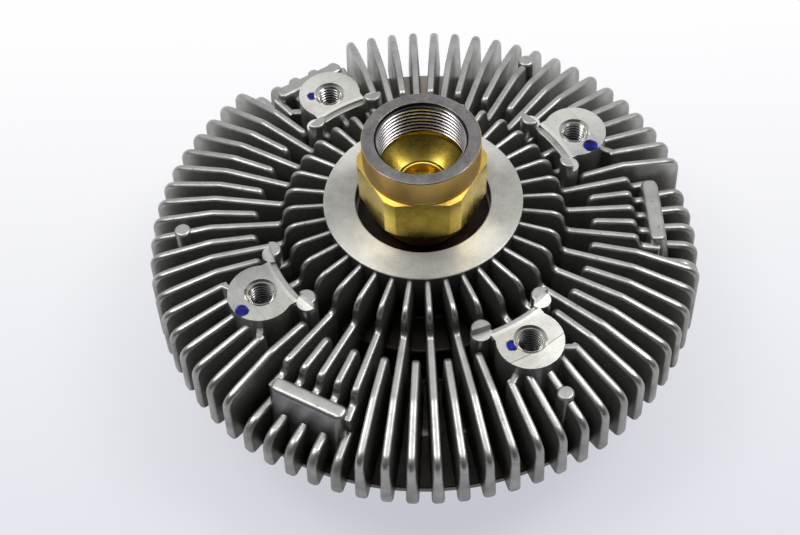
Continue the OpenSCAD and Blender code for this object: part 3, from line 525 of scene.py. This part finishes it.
# Turned aluminium: fine rings about the axis that spread the light outwards and inwards. The cutter's
# feed is about 0.15 mm, too fine to show, so the rings and streaks are drawn 0.5 mm apart. Wave
# texture: rings are 0.314 / scale apart. On the bosses a second cut starts 63 mm from the axis, deepest
# on one of them. One boss is darker, the ears' colour is brightened as a painted highlight, and each boss
# has a dab of marking ink.
turned_face, tree, shader, coords = surface("turned_aluminium", Anisotropic=0.8, Anisotropic_Rotation=0.25,
                                            Specular_IOR_Level=0.2)
rings = put(tree, "ShaderNodeTexWave", {"Vector": coords, "Scale": 0.314 / (0.5 * mm), "Distortion": 0.6,
                                        "Detail": 2, "Detail Scale": 1.5},
            wave_type="RINGS", rings_direction="Z")
cloud = put(tree, "ShaderNodeTexNoise", {"Vector": coords, "Scale": 90, "Detail": 6, "Roughness": 0.65})
sheen = put(tree, "ShaderNodeValToRGB", {0: cloud.outputs["Fac"]},
            stops=((0.3, "#b8b8b2"), (0.7, "#dadad3")))
level = put(tree, "ShaderNodeVectorMath", {0: coords, 1: (1, 1, 0)}, operation="MULTIPLY")
from_axis = put(tree, "ShaderNodeVectorMath", {0: level.outputs[0]}, operation="LENGTH").outputs["Value"]
# Edge and level of the second cut on the bosses
to_front = put(tree, "ShaderNodeVectorMath", {0: coords, 1: (0.5, -0.866, 0)}, operation="DOT_PRODUCT")
cut_deep = put(tree, "ShaderNodeMapRange", {0: to_front.outputs["Value"], 1: 0.03, 2: 0.045, 3: 0.25, 4: 1.0})
past_edge = put(tree, "ShaderNodeMath", {0: from_axis, 1: 0.063}, operation="SUBTRACT")
off_edge = put(tree, "ShaderNodeMath", {0: past_edge.outputs[0]}, operation="ABSOLUTE")
edge_line = put(tree, "ShaderNodeMapRange", {0: off_edge.outputs[0], 1: 0.0001, 2: 0.00025, 3: -0.5, 4: 0.0})
second_cut = put(tree, "ShaderNodeMapRange", {0: past_edge.outputs[0], 1: -0.00005, 2: 0.00005,
                                              3: 0.0, 4: 0.15})
step = put(tree, "ShaderNodeMath", {0: second_cut.outputs[0], 1: edge_line.outputs[0]}, operation="ADD")
# Streaks that run along the rings
angle = put(tree, "ShaderNodeSeparateXYZ", {0: coords})
angle = put(tree, "ShaderNodeMath", {0: angle.outputs["Y"], 1: angle.outputs["X"]}, operation="ARCTAN2")
around = put(tree, "ShaderNodeMath", {0: angle.outputs[0], 1: 30.0}, operation="MULTIPLY")
outward = put(tree, "ShaderNodeMath", {0: from_axis, 1: 2200.0}, operation="MULTIPLY")
along = put(tree, "ShaderNodeCombineXYZ", {0: around.outputs[0], 1: outward.outputs[0]})
streaks = put(tree, "ShaderNodeTexNoise", {"Vector": along.outputs[0], "Scale": 1.0, "Detail": 4,
                                           "Roughness": 0.6})
streaky = put(tree, "ShaderNodeMapRange", {0: streaks.outputs["Fac"], 1: 0.3, 2: 0.7, 3: 0.9, 4: 1.07})
shade = put(tree, "ShaderNodeMath", {0: step.outputs[0], 1: cut_deep.outputs[0], 2: streaky.outputs[0]},
            operation="MULTIPLY_ADD")
# The darker boss, and the ears brightened by a painted highlight
to_left = put(tree, "ShaderNodeVectorMath", {0: coords, 1: (-0.866, -0.5, 0)}, operation="DOT_PRODUCT")
darkening = put(tree, "ShaderNodeMapRange", {0: to_left.outputs["Value"], 1: 0.05, 2: 0.0515, 3: 1.0, 4: 0.74})
shade = put(tree, "ShaderNodeMath", {0: shade.outputs[0], 1: darkening.outputs[0]}, operation="MULTIPLY")
on_boss = put(tree, "ShaderNodeMapRange", {0: from_axis, 1: 0.0495, 2: 0.0499, 3: 0.0, 4: 1.0})
on_ear = put(tree, "ShaderNodeMapRange", {0: from_axis, 1: 0.0522, 2: 0.053, 3: 1.0, 4: 0.0})
on_ear = put(tree, "ShaderNodeMath", {0: on_ear.outputs[0], 1: on_boss.outputs[0]}, operation="MULTIPLY")
bright = put(tree, "ShaderNodeMapRange", {0: on_ear.outputs[0], 1: 0.0, 2: 1.0, 3: 1.0, 4: 1.35})
shade = put(tree, "ShaderNodeMath", {0: shade.outputs[0], 1: bright.outputs[0]}, operation="MULTIPLY")
clean = put(tree, "ShaderNodeVectorMath", {0: sheen.outputs[0], "Scale": shade.outputs[0]}, operation="SCALE")
# Ink, as ragged dabs with their place and radius in mm
smear = put(tree, "ShaderNodeTexNoise", {"Vector": coords, "Scale": 500, "Detail": 3})
ink_dabs = ((-56.4, -35.7, 2.2), (-35.1, 50.3, 1.8), (23.8, -52.7, 1.9), (55.4, 22.7, 2.5))
ink = None
for x, y, radius in ink_dabs:
    reach = put(tree, "ShaderNodeVectorMath", {0: level.outputs[0], 1: (x * mm, y * mm, 0)},
                operation="DISTANCE")
    ragged = put(tree, "ShaderNodeMath", {0: smear.outputs["Fac"], 1: 1.0 * mm, 2: reach.outputs["Value"]},
                 operation="MULTIPLY_ADD")
    dab = put(tree, "ShaderNodeMapRange", {0: ragged.outputs[0], 1: (radius + 0.3) * mm,
                                           2: (radius + 0.7) * mm, 3: 1.0, 4: 0.0}).outputs[0]
    if ink:
        dab = put(tree, "ShaderNodeMath", {0: ink, 1: dab}, operation="MAXIMUM").outputs[0]
    ink = dab
strokes = put(tree, "ShaderNodeValToRGB", {0: smear.outputs["Fac"]},
              stops=((0.45, "#06063f"), (0.7, "#1620a8")))
marked = put(tree, "ShaderNodeMix", {0: ink, 6: clean.outputs[0], 7: strokes.outputs[0]}, data_type="RGBA")
tree.links.new(marked.outputs[2], shader.inputs["Base Color"])
bare = put(tree, "ShaderNodeMath", {0: 1.0, 1: ink}, operation="SUBTRACT")
tree.links.new(bare.outputs[0], shader.inputs["Metallic"])
worn = put(tree, "ShaderNodeMapRange", {0: cloud.outputs["Fac"], 1: 0.3, 2: 0.7, 3: 0.56, 4: 0.42})
worn = put(tree, "ShaderNodeMath", {0: on_ear.outputs[0], 1: -0.14, 2: worn.outputs[0]},
           operation="MULTIPLY_ADD")
tree.links.new(worn.outputs[0], shader.inputs["Roughness"])
bump = put(tree, "ShaderNodeBump", {"Strength": 0.25, "Distance": 0.00004, "Height": rings.outputs["Fac"]})
tree.links.new(bump.outputs[0], shader.inputs["Normal"])
ring_tangent = put(tree, "ShaderNodeTangent", direction_type="RADIAL", axis="Z")
tree.links.new(ring_tangent.outputs[0], shader.inputs["Tangent"])

# Countersunk and tapped aluminium: smoother and brighter than the turned faces, with faint chatter
# marks about 0.6 mm apart. Painted shade darkens the thread's root and the hole towards its bottom.
tapped, tree, shader, coords = surface("tapped_aluminium", Metallic=1.0)
chatter = put(tree, "ShaderNodeTexNoise", {"Vector": coords, "Scale": 1600, "Detail": 2})
shade = put(tree, "ShaderNodeValToRGB", {0: chatter.outputs["Fac"]},
            stops=((0, "#d2d0cc"), (1, "#e4e3df")))
place = put(tree, "ShaderNodeSeparateXYZ", {0: coords})
level = put(tree, "ShaderNodeVectorMath", {0: coords, 1: (1, 1, 0)}, operation="MULTIPLY")
# Distance to the nearest hole's axis
boss_axes = [(boss_circle_r * math.cos(math.radians(turn)), boss_circle_r * math.sin(math.radians(turn)))
             for turn in boss_turns]
to_axis = None
for x, y in boss_axes:
    reach = put(tree, "ShaderNodeVectorMath", {0: level.outputs[0], 1: (x * mm, y * mm, 0)},
                operation="DISTANCE").outputs["Value"]
    if to_axis:
        reach = put(tree, "ShaderNodeMath", {0: to_axis, 1: reach}, operation="MINIMUM").outputs[0]
    to_axis = reach
# Painted shade in the thread's root and down towards the bottom of the hole
root = put(tree, "ShaderNodeMapRange", {0: to_axis, 1: 0.0035, 2: 0.0038, 3: 1.0, 4: 0.05})
mouth = put(tree, "ShaderNodeMapRange", {0: place.outputs["Z"], 1: 0.0552, 2: 0.0554, 3: 0.0, 4: 1.0})
clear = put(tree, "ShaderNodeMath", {0: root.outputs[0], 1: mouth.outputs[0]}, operation="MAXIMUM")
down_hole = put(tree, "ShaderNodeMapRange", {0: place.outputs["Z"], 1: 0.042, 2: 0.055, 3: 0.05, 4: 1.0})
painted_thread_shade = put(tree, "ShaderNodeMath", {0: clear.outputs[0], 1: down_hole.outputs[0]}, operation="MULTIPLY")
painted_shade_colour = put(tree, "ShaderNodeVectorMath", {0: shade.outputs[0], "Scale": painted_thread_shade.outputs[0]}, operation="SCALE")
tree.links.new(painted_shade_colour.outputs[0], shader.inputs["Base Color"])
cut_gloss = put(tree, "ShaderNodeMapRange", {0: chatter.outputs["Fac"], 1: 0.3, 2: 0.7, 3: 0.2, 4: 0.24})
tree.links.new(cut_gloss.outputs[0], shader.inputs["Roughness"])


def dress(piece, *materials):
    """Gives a piece its materials, numbered in this order."""
    piece.data.materials.clear()
    for material in materials:
        piece.data.materials.append(material)


dress(housing, die_cast, turned_face, tapped)
hole_edge_r = 4.94
for face in housing.data.polygons:
    radius = math.hypot(face.center.x, face.center.y) / mm
    height = face.center.z / mm
    on_ring = height > 61.2 and radius < hub_r
    on_boss = abs(height - boss_z) < 0.12 and face.normal.z > 0.7 and radius > 49.9
    to_hole = min(math.hypot(face.center.x / mm - x, face.center.y / mm - y) for x, y in boss_axes)
    in_hole = to_hole < hole_edge_r and 37 < height < boss_z - 0.01
    face.material_index = 2 if in_hole else 1 if on_ring or on_boss else 0
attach(housing, "housing")
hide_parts("rear_body")

# Input shaft with its hexagon.
# Turned from hexagon steel bar, then plated with yellow zinc. The mouth face and thread were cut
# after plating, so they are bare steel.
shaft_steps = 144
hexagon_z = 64.6
across_flats = 36.0
hexagon_turn = -152
shaft = turned("shaft_nut", [
    # Front end with the groove of the rotor's ring, journal and shoulder
    (0, 17), (9.5, 17), (9.98, 17.5), (9.98, 18.2), (9.18, 18.2), (9.18, 19.5), (9.98, 19.5),
    (9.98, 55), (13.2, 55), (13.2, 57.5), (15, 57.5), (15, hexagon_z),
    # Core of the hexagon, and the collar
    (17.6, hexagon_z), (17.6, 81.1), *arc(18.4, 81.4, 0.4, 220, 180, 3), *arc(17.5, 89.8, 0.5, 0, 90, 4),
    # Wall of the thread, undercut, and the floor with its hole
    *arc(14.2, 90.15, 0.15, 90, 180, 2), (14.05, 77.7), (14.3, 77.3), (14.3, 75.9), (13.7, 75.2),
    (8.0, 70.5), *arc(7.1, 69.9, 0.8, 60, 180, 4), (6.2, 67.2), (0, 64.2)], shaft_steps)
hexagon = turned("hexagon", [
    (14.5, hexagon_z), (17.9, hexagon_z), (19.75, 66.4), (19.75, 80.3), (17.5, 80.75), (17.5, 66),
    (14.5, 66)], shaft_steps)
bpy.ops.object.select_all(action="DESELECT")
bpy.ops.mesh.primitive_cylinder_add(vertices=6, radius=across_flats / math.sqrt(3) * mm, depth=60 * mm,
                                    location=(0, 0, 72 * mm))
flats = bpy.context.object
bpy.ops.object.transform_apply(location=True)
flats.data.transform(Matrix.Rotation(math.radians(hexagon_turn), 4, "Z"))
unite(hexagon, [flats], "INTERSECT")
unite(shaft, [hexagon])
merge(shaft)
round_edges(shaft, 0.22, 2, 35)
finish_shading(shaft, 20, "CORNER_ANGLE")

# Yellow zinc plate on steel: olive gold on the hexagon, and amber and a little duller on the collar,
# with clouds of about 9 mm. Faint turning lines run round it, drawn about 0.7 mm apart so that they
# show.
plated, tree, shader, coords = surface("yellow_zinc_plate", Metallic=1.0)
place = put(tree, "ShaderNodeSeparateXYZ", {0: coords})
cloud = put(tree, "ShaderNodeTexNoise", {"Vector": coords, "Scale": 110, "Detail": 6, "Roughness": 0.62})
stretch = put(tree, "ShaderNodeMapping", {"Vector": coords, "Scale": (0.05, 0.05, 1)})
streak = put(tree, "ShaderNodeTexNoise", {"Vector": stretch.outputs[0], "Scale": 1400, "Detail": 3})
zinc = put(tree, "ShaderNodeValToRGB", {0: cloud.outputs["Fac"]},
           stops=((0.3, "#a89234"), (0.5, "#d2b74e"), (0.7, "#eed26c")))
on_collar = put(tree, "ShaderNodeMapRange", {0: place.outputs["Z"], 1: 0.0795, 2: 0.082, 3: 0.0, 4: 0.75})
amber = put(tree, "ShaderNodeMix", {0: on_collar.outputs[0], 6: zinc.outputs[0], 7: hue("#e9bd74")},
            data_type="RGBA")
tree.links.new(amber.outputs[2], shader.inputs["Base Color"])
gloss = put(tree, "ShaderNodeMapRange", {0: cloud.outputs["Fac"], 1: 0.3, 2: 0.7, 3: 0.24, 4: 0.32})
turned_gloss = put(tree, "ShaderNodeMath", {0: on_collar.outputs[0], 1: 0.04, 2: gloss.outputs[0]},
                   operation="MULTIPLY_ADD")
tree.links.new(turned_gloss.outputs[0], shader.inputs["Roughness"])
bump = put(tree, "ShaderNodeBump", {"Strength": 0.1, "Distance": 0.00003, "Height": streak.outputs["Fac"]})
tree.links.new(bump.outputs[0], shader.inputs["Normal"])

# Bare turned steel: grey, with rings drawn 0.4 mm apart, and a touch of rust at one place of the
# mouth, where the plating is cut away.
bare_steel, tree, shader, coords = surface("bare_turned_steel", Metallic=1.0, Anisotropic=0.5)
rings = put(tree, "ShaderNodeTexWave", {"Vector": coords, "Scale": 0.314 / (0.4 * mm), "Distortion": 0.4,
                                        "Detail": 2},
            wave_type="RINGS", rings_direction="Z")
cloud = put(tree, "ShaderNodeTexNoise", {"Vector": coords, "Scale": 240, "Detail": 6, "Roughness": 0.7})
steel = put(tree, "ShaderNodeValToRGB", {0: cloud.outputs["Fac"]},
            stops=((0.3, "#757371"), (0.7, "#9b9996")))
rust_spot = (0.0085, -0.0125, 0.0905)
rust_reach = put(tree, "ShaderNodeVectorMath", {0: coords, 1: rust_spot}, operation="DISTANCE")
rust_near = put(tree, "ShaderNodeMapRange", {0: rust_reach.outputs["Value"], 1: 0.001, 2: 0.0065,
                                             3: 0.32, 4: -0.2})
rust_fleck = put(tree, "ShaderNodeMath", {0: cloud.outputs["Fac"], 1: rust_near.outputs[0]}, operation="ADD")
rust = put(tree, "ShaderNodeMapRange", {0: rust_fleck.outputs[0], 1: 0.78, 2: 0.9, 3: 0.0, 4: 0.8})
rusty = put(tree, "ShaderNodeMix", {0: rust.outputs[0], 6: steel.outputs[0], 7: hue("#7a4a26")},
            data_type="RGBA")
tree.links.new(rusty.outputs[2], shader.inputs["Base Color"])
rust_rough = put(tree, "ShaderNodeMapRange", {0: rust.outputs[0], 1: 0, 2: 1, 3: 0.24, 4: 0.7})
tree.links.new(rust_rough.outputs[0], shader.inputs["Roughness"])
ring_tangent = put(tree, "ShaderNodeTangent", direction_type="RADIAL", axis="Z")
tree.links.new(ring_tangent.outputs[0], shader.inputs["Tangent"])
bump = put(tree, "ShaderNodeBump", {"Strength": 0.2, "Distance": 0.00003, "Height": rings.outputs["Fac"]})
tree.links.new(bump.outputs[0], shader.inputs["Normal"])

# Tapped steel of the thread: cut bright, with chatter of about 0.6 mm and painted shade in the root.
tapped_steel, tree, shader, coords = surface("tapped_steel", Metallic=1.0)
chatter = put(tree, "ShaderNodeTexNoise", {"Vector": coords, "Scale": 1600, "Detail": 2})
shade = put(tree, "ShaderNodeValToRGB", {0: chatter.outputs["Fac"]},
            stops=((0, "#b0adac"), (1, "#bfbcba")))
level = put(tree, "ShaderNodeVectorMath", {0: coords, 1: (1, 1, 0)}, operation="MULTIPLY")
from_axis = put(tree, "ShaderNodeVectorMath", {0: level.outputs[0]}, operation="LENGTH").outputs["Value"]
# Painted shade in the thread's root
root = put(tree, "ShaderNodeMapRange", {0: from_axis, 1: 0.0133, 2: 0.0136, 3: 1.0, 4: 0.05})
painted_thread_shade = put(tree, "ShaderNodeVectorMath", {0: shade.outputs[0], "Scale": root.outputs[0]}, operation="SCALE")
tree.links.new(painted_thread_shade.outputs[0], shader.inputs["Base Color"])
oiled = put(tree, "ShaderNodeMapRange", {0: chatter.outputs["Fac"], 1: 0.3, 2: 0.7, 3: 0.22, 4: 0.26})
tree.links.new(oiled.outputs[0], shader.inputs["Roughness"])

dress(shaft, plated, bare_steel, tapped_steel)
for face in shaft.data.polygons:
    radius = math.hypot(face.center.x, face.center.y) / mm
    height = face.center.z / mm
    on_mouth = height > 89.6 and radius < 17.8
    in_bore = 77.5 < height < 90 and radius < 14.6
    journal = height < 55
    face.material_index = 1 if on_mouth or journal else 2 if in_bore else 0
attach(shaft, "input")
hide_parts("input_shaft")


# Threads in the nut and in the bosses.
# Cut with taps. Each is one ridge that winds down the wall, with the flat crest of a tapped
# thread, cut off by the bevel at the mouth.
def thread(name, crest_r, wall_r, pitch, low_z, high_z, bevel, steps):
    """A ridge wound round the Z axis, trimmed between two heights and to the bevel of the mouth."""
    turns = math.ceil((high_z - low_z) / pitch) + 2
    start = low_z - pitch
    points = [(wall_r, 0.03), (wall_r, 0.97), (crest_r, 0.58), (crest_r, 0.42)]
    ridge = outline(name, [(across, start + up * pitch) for across, up in points])
    only(ridge)
    wind = ridge.modifiers.new("wind", "SCREW")
    wind.angle = 2 * math.pi
    wind.screw_offset = pitch * mm
    wind.iterations = turns
    wind.steps = steps
    wind.render_steps = steps
    bpy.ops.object.modifier_apply(modifier=wind.name)
    bpy.ops.object.mode_set(mode="EDIT")
    bpy.ops.mesh.select_all(action="DESELECT")
    bpy.ops.mesh.select_mode(type="EDGE")
    bpy.ops.mesh.select_non_manifold(extend=False)
    bpy.ops.mesh.fill_holes(sides=8)
    bpy.ops.object.mode_set(mode="OBJECT")
    merge(ridge)
    room = turned("room", [(0, low_z), (wall_r + 1, low_z), (wall_r + 1, high_z), (crest_r + bevel, high_z),
                           (crest_r - 0.3, high_z - bevel - 0.3), (0, high_z - bevel - 0.3)], steps)
    unite(ridge, [room], "INTERSECT")
    finish_shading(merge(ridge), 30)
    return ridge


nut_thread = thread("nut_thread", crest_r=13.2, wall_r=14.12, pitch=1.5, low_z=77.7, high_z=90.15,
                    bevel=0.9, steps=96)
dress(nut_thread, tapped_steel)
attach(nut_thread, "input")

boss_thread = thread("boss_thread", crest_r=3.42, wall_r=4.12, pitch=1.25, low_z=38, high_z=55.9,
                     bevel=0.6, steps=48)
dress(boss_thread, tapped)
for i, turn in enumerate(boss_turns):
    winding = boss_thread.copy()
    winding.data = boss_thread.data.copy()
    winding.name = f"boss_thread_{i + 1}"
    bpy.context.collection.objects.link(winding)
    winding.data.transform(Matrix.Translation((boss_circle_r * mm, 0, 0)))
    winding.data.transform(Matrix.Rotation(math.radians(turn), 4, "Z"))
    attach(winding, "housing")
bpy.data.objects.remove(boss_thread)


# Front cover and the pieces inside.
# They stay as the solids have them: a die-cast cover, a turned rotor, a ball bearing, pressed steel
# plates, rubber seals and the bimetal coil with its anchor.
def shade_by(tree, shader, pattern, colours, roughness, span=(0.3, 0.7)):
    """Varies a surface's colour and roughness by one pattern."""
    shade = put(tree, "ShaderNodeValToRGB", {0: pattern}, stops=((0, colours[0]), (1, colours[1])))
    tree.links.new(shade.outputs[0], shader.inputs["Base Color"])
    matt = put(tree, "ShaderNodeMapRange", {0: pattern, 1: span[0], 2: span[1], 3: roughness[0],
                                            4: roughness[1]})
    tree.links.new(matt.outputs[0], shader.inputs["Roughness"])


# Ground bearing steel: smooth and even, faintly clouded.
ground_steel, tree, shader, coords = surface("ground_bearing_steel", Metallic=1.0)
cloud = put(tree, "ShaderNodeTexNoise", {"Vector": coords, "Scale": 300, "Detail": 4})
shade_by(tree, shader, cloud.outputs["Fac"], ("#8f9194", "#c3c5c8"), (0.12, 0.24))
for name in ("bearing_outer_ring", "bearing_inner_ring", "bearing_balls"):
    dress(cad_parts[name], ground_steel)

# Pressed sheet steel: a dull grey with rolling lines, drawn 0.6 mm apart so that they show.
sheet_steel, tree, shader, coords = surface("pressed_sheet_steel", Metallic=1.0)
stretch = put(tree, "ShaderNodeMapping", {"Vector": coords, "Scale": (1, 0.05, 1)})
rolled = put(tree, "ShaderNodeTexNoise", {"Vector": stretch.outputs[0], "Scale": 1600, "Detail": 3})
shade_by(tree, shader, rolled.outputs["Fac"], ("#7c7e82", "#b6b8bb"), (0.3, 0.45))
for name in ("pump_plate", "pump_plate_rivets", "valve_shaft", "valve_arm", "coil_anchor"):
    dress(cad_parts[name], sheet_steel)

# Phosphated spring steel: nearly black, with a fine crystal grain of about 0.3 mm.
spring_steel, tree, shader, coords = surface("phosphated_spring_steel", Metallic=0.8)
grain = put(tree, "ShaderNodeTexNoise", {"Vector": coords, "Scale": 3300, "Detail": 2})
shade_by(tree, shader, grain.outputs["Fac"], ("#2e3033", "#5d6064"), (0.45, 0.6))
for name in ("bearing_retaining_ring", "rotor_retaining_ring"):
    dress(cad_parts[name], spring_steel)

# Rolled bimetal strip: a brownish steel side and a yellowish one, tempered, with lines along it.
bimetal, tree, shader, coords = surface("rolled_bimetal", Metallic=1.0)
stretch = put(tree, "ShaderNodeMapping", {"Vector": coords, "Scale": (0.2, 0.2, 3)})
rolled = put(tree, "ShaderNodeTexNoise", {"Vector": stretch.outputs[0], "Scale": 700, "Detail": 4})
shade_by(tree, shader, rolled.outputs["Fac"], ("#6f6250", "#b3a78f"), (0.26, 0.42))
dress(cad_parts["bimetal_coil"], bimetal)

# Machined brass of the ball cage: yellow, with turning lines drawn 0.4 mm apart.
cage_brass, tree, shader, coords = surface("machined_brass", Metallic=1.0)
rings = put(tree, "ShaderNodeTexWave", {"Vector": coords, "Scale": 0.314 / (0.4 * mm), "Distortion": 1.0},
            wave_type="RINGS", rings_direction="Z")
shade_by(tree, shader, rings.outputs["Fac"], ("#a5853c", "#c9a95a"), (0.25, 0.35), (0, 1))
dress(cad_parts["bearing_cage"], cage_brass)

# Moulded rubber: black nitrile for the ring seals, dark brown for the bearing's seals. Dull, with
# a film of oil that leaves it smoother in places.
for name, dark, light, nodes in (
        ("black_nitrile_rubber", "#121110", "#24221f", ("cover_seal", "valve_shaft_seal")),
        ("brown_nitrile_rubber", "#150b08", "#2a1813", ("bearing_rear_seal", "bearing_front_seal"))):
    rubber, tree, shader, coords = surface(name, IOR=1.52, Specular_IOR_Level=0.25)
    film = put(tree, "ShaderNodeTexNoise", {"Vector": coords, "Scale": 260, "Detail": 5})
    shade_by(tree, shader, film.outputs["Fac"], (dark, light), (0.3, 0.55))
    for node in nodes:
        dress(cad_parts[node], rubber)

# Moulded polyamide of the wiper: ivory, with a fine spark-eroded grain of about 0.3 mm.
polyamide, tree, shader, coords = surface("ivory_polyamide", IOR=1.53)
grain = put(tree, "ShaderNodeTexNoise", {"Vector": coords, "Scale": 3300, "Detail": 2})
shade_by(tree, shader, grain.outputs["Fac"], ("#c9c2ac", "#e2dcc8"), (0.4, 0.55))
dress(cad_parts["pump_wiper"], polyamide)

dress(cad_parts["rotor"], turned_face)
dress(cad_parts["anchor_rivet"], turned_face)
dress(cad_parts["front_cover"], die_cast)

# Studio: a pale floor, two softboxes at the sides and one overhead, a room that is bright behind the
# part and dark on the camera's side, and the photograph's camera.
bpy.ops.object.select_all(action="DESELECT")
bpy.ops.mesh.primitive_plane_add(size=6, location=(0, 0, 0))
floor = bpy.context.object
floor.name = "floor"
paper, tree, shader, coords = surface("white_paper", Roughness=0.9)
shader.inputs["Base Color"].default_value = hue("#f4f4f6")
place = put(tree, "ShaderNodeSeparateXYZ", {0: coords})
# Painted shadow: the floor's glow fades from white behind the part to a lavender grey in front of it
painted_floor_shadow = put(tree, "ShaderNodeMapRange", {0: place.outputs["Y"], 1: -0.16, 2: 0.14, 3: 0.0, 4: 1.0})
paper_and_painted_shadow = put(tree, "ShaderNodeValToRGB", {0: painted_floor_shadow.outputs[0]}, stops=((0, "#d0d3e0"), (1, "#ffffff")))
glow = put(tree, "ShaderNodeEmission", {"Color": paper_and_painted_shadow.outputs[0], "Strength": 1.0})
seen = put(tree, "ShaderNodeLightPath")
mirrored = put(tree, "ShaderNodeMath", {0: seen.outputs["Is Camera Ray"], 1: seen.outputs["Is Glossy Ray"]},
               operation="MAXIMUM")
in_view = put(tree, "ShaderNodeMath", {0: mirrored.outputs[0], 1: seen.outputs["Is Transmission Ray"]},
              operation="MAXIMUM")
glow_share = 0.72
share = put(tree, "ShaderNodeMath", {0: in_view.outputs[0], 1: glow_share}, operation="MULTIPLY")
pale = put(tree, "ShaderNodeMixShader", {0: share.outputs[0], 1: shader.outputs[0], 2: glow.outputs[0]})
tree.links.new(pale.outputs[0], tree.nodes["Material Output"].inputs["Surface"])
floor.data.materials.append(paper)

world = bpy.data.worlds.new("studio")
bpy.context.scene.world = world
world.use_nodes = True
tree = world.node_tree
sky = tree.nodes["Background"]
sky.inputs["Color"].default_value = hue("#fbfbff")
aim = put(tree, "ShaderNodeSeparateXYZ", {0: put(tree, "ShaderNodeTexCoord").outputs["Generated"]})
room = put(tree, "ShaderNodeMapRange", {0: aim.outputs["Y"], 1: -0.6, 2: 0.7, 3: 0.05, 4: 0.75})
tree.links.new(room.outputs[0], sky.inputs["Strength"])


part_middle = (0, 0, 0.05)


def softbox(name, place, size, power):
    """A square area lamp that faces the part."""
    lamp = bpy.data.lights.new(name, "AREA")
    lamp.shape = "SQUARE"
    lamp.size = size
    lamp.energy = power
    box = bpy.data.objects.new(name, lamp)
    bpy.context.collection.objects.link(box)
    box.location = place
    box.rotation_euler = (Vector(part_middle) - Vector(place)).to_track_quat("-Z", "Y").to_euler()


softbox("left_softbox", place=(-0.55, 0.06, 1.01), size=0.45, power=4.4)
softbox("right_softbox", place=(0.605, 0.094, 0.974), size=0.45, power=5.0)
softbox("overhead_softbox", place=(0, 0.1, 1.2), size=0.65, power=2.0)

# The lens and the camera's place were fitted to the ring, the four tapped holes and the nut.
camera_data = bpy.data.cameras.new("camera")
camera_data.sensor_fit = "HORIZONTAL"
camera_data.sensor_width = 36
camera_data.lens = 64.865
camera_data.clip_start = 0.01
camera = bpy.data.objects.new("camera", camera_data)
bpy.context.collection.objects.link(camera)
camera.matrix_world = Matrix((
    (0.99883, 0.048038, 0.005596, -0.005692),
    (-0.035679, 0.810036, -0.585293, -0.281217),
    (-0.032649, 0.584409, 0.810802, 0.414744),
    (0.0, 0.0, 0.0, 1.0)))
bpy.context.scene.camera = camera
bpy.context.scene.view_settings.view_transform = "Standard"
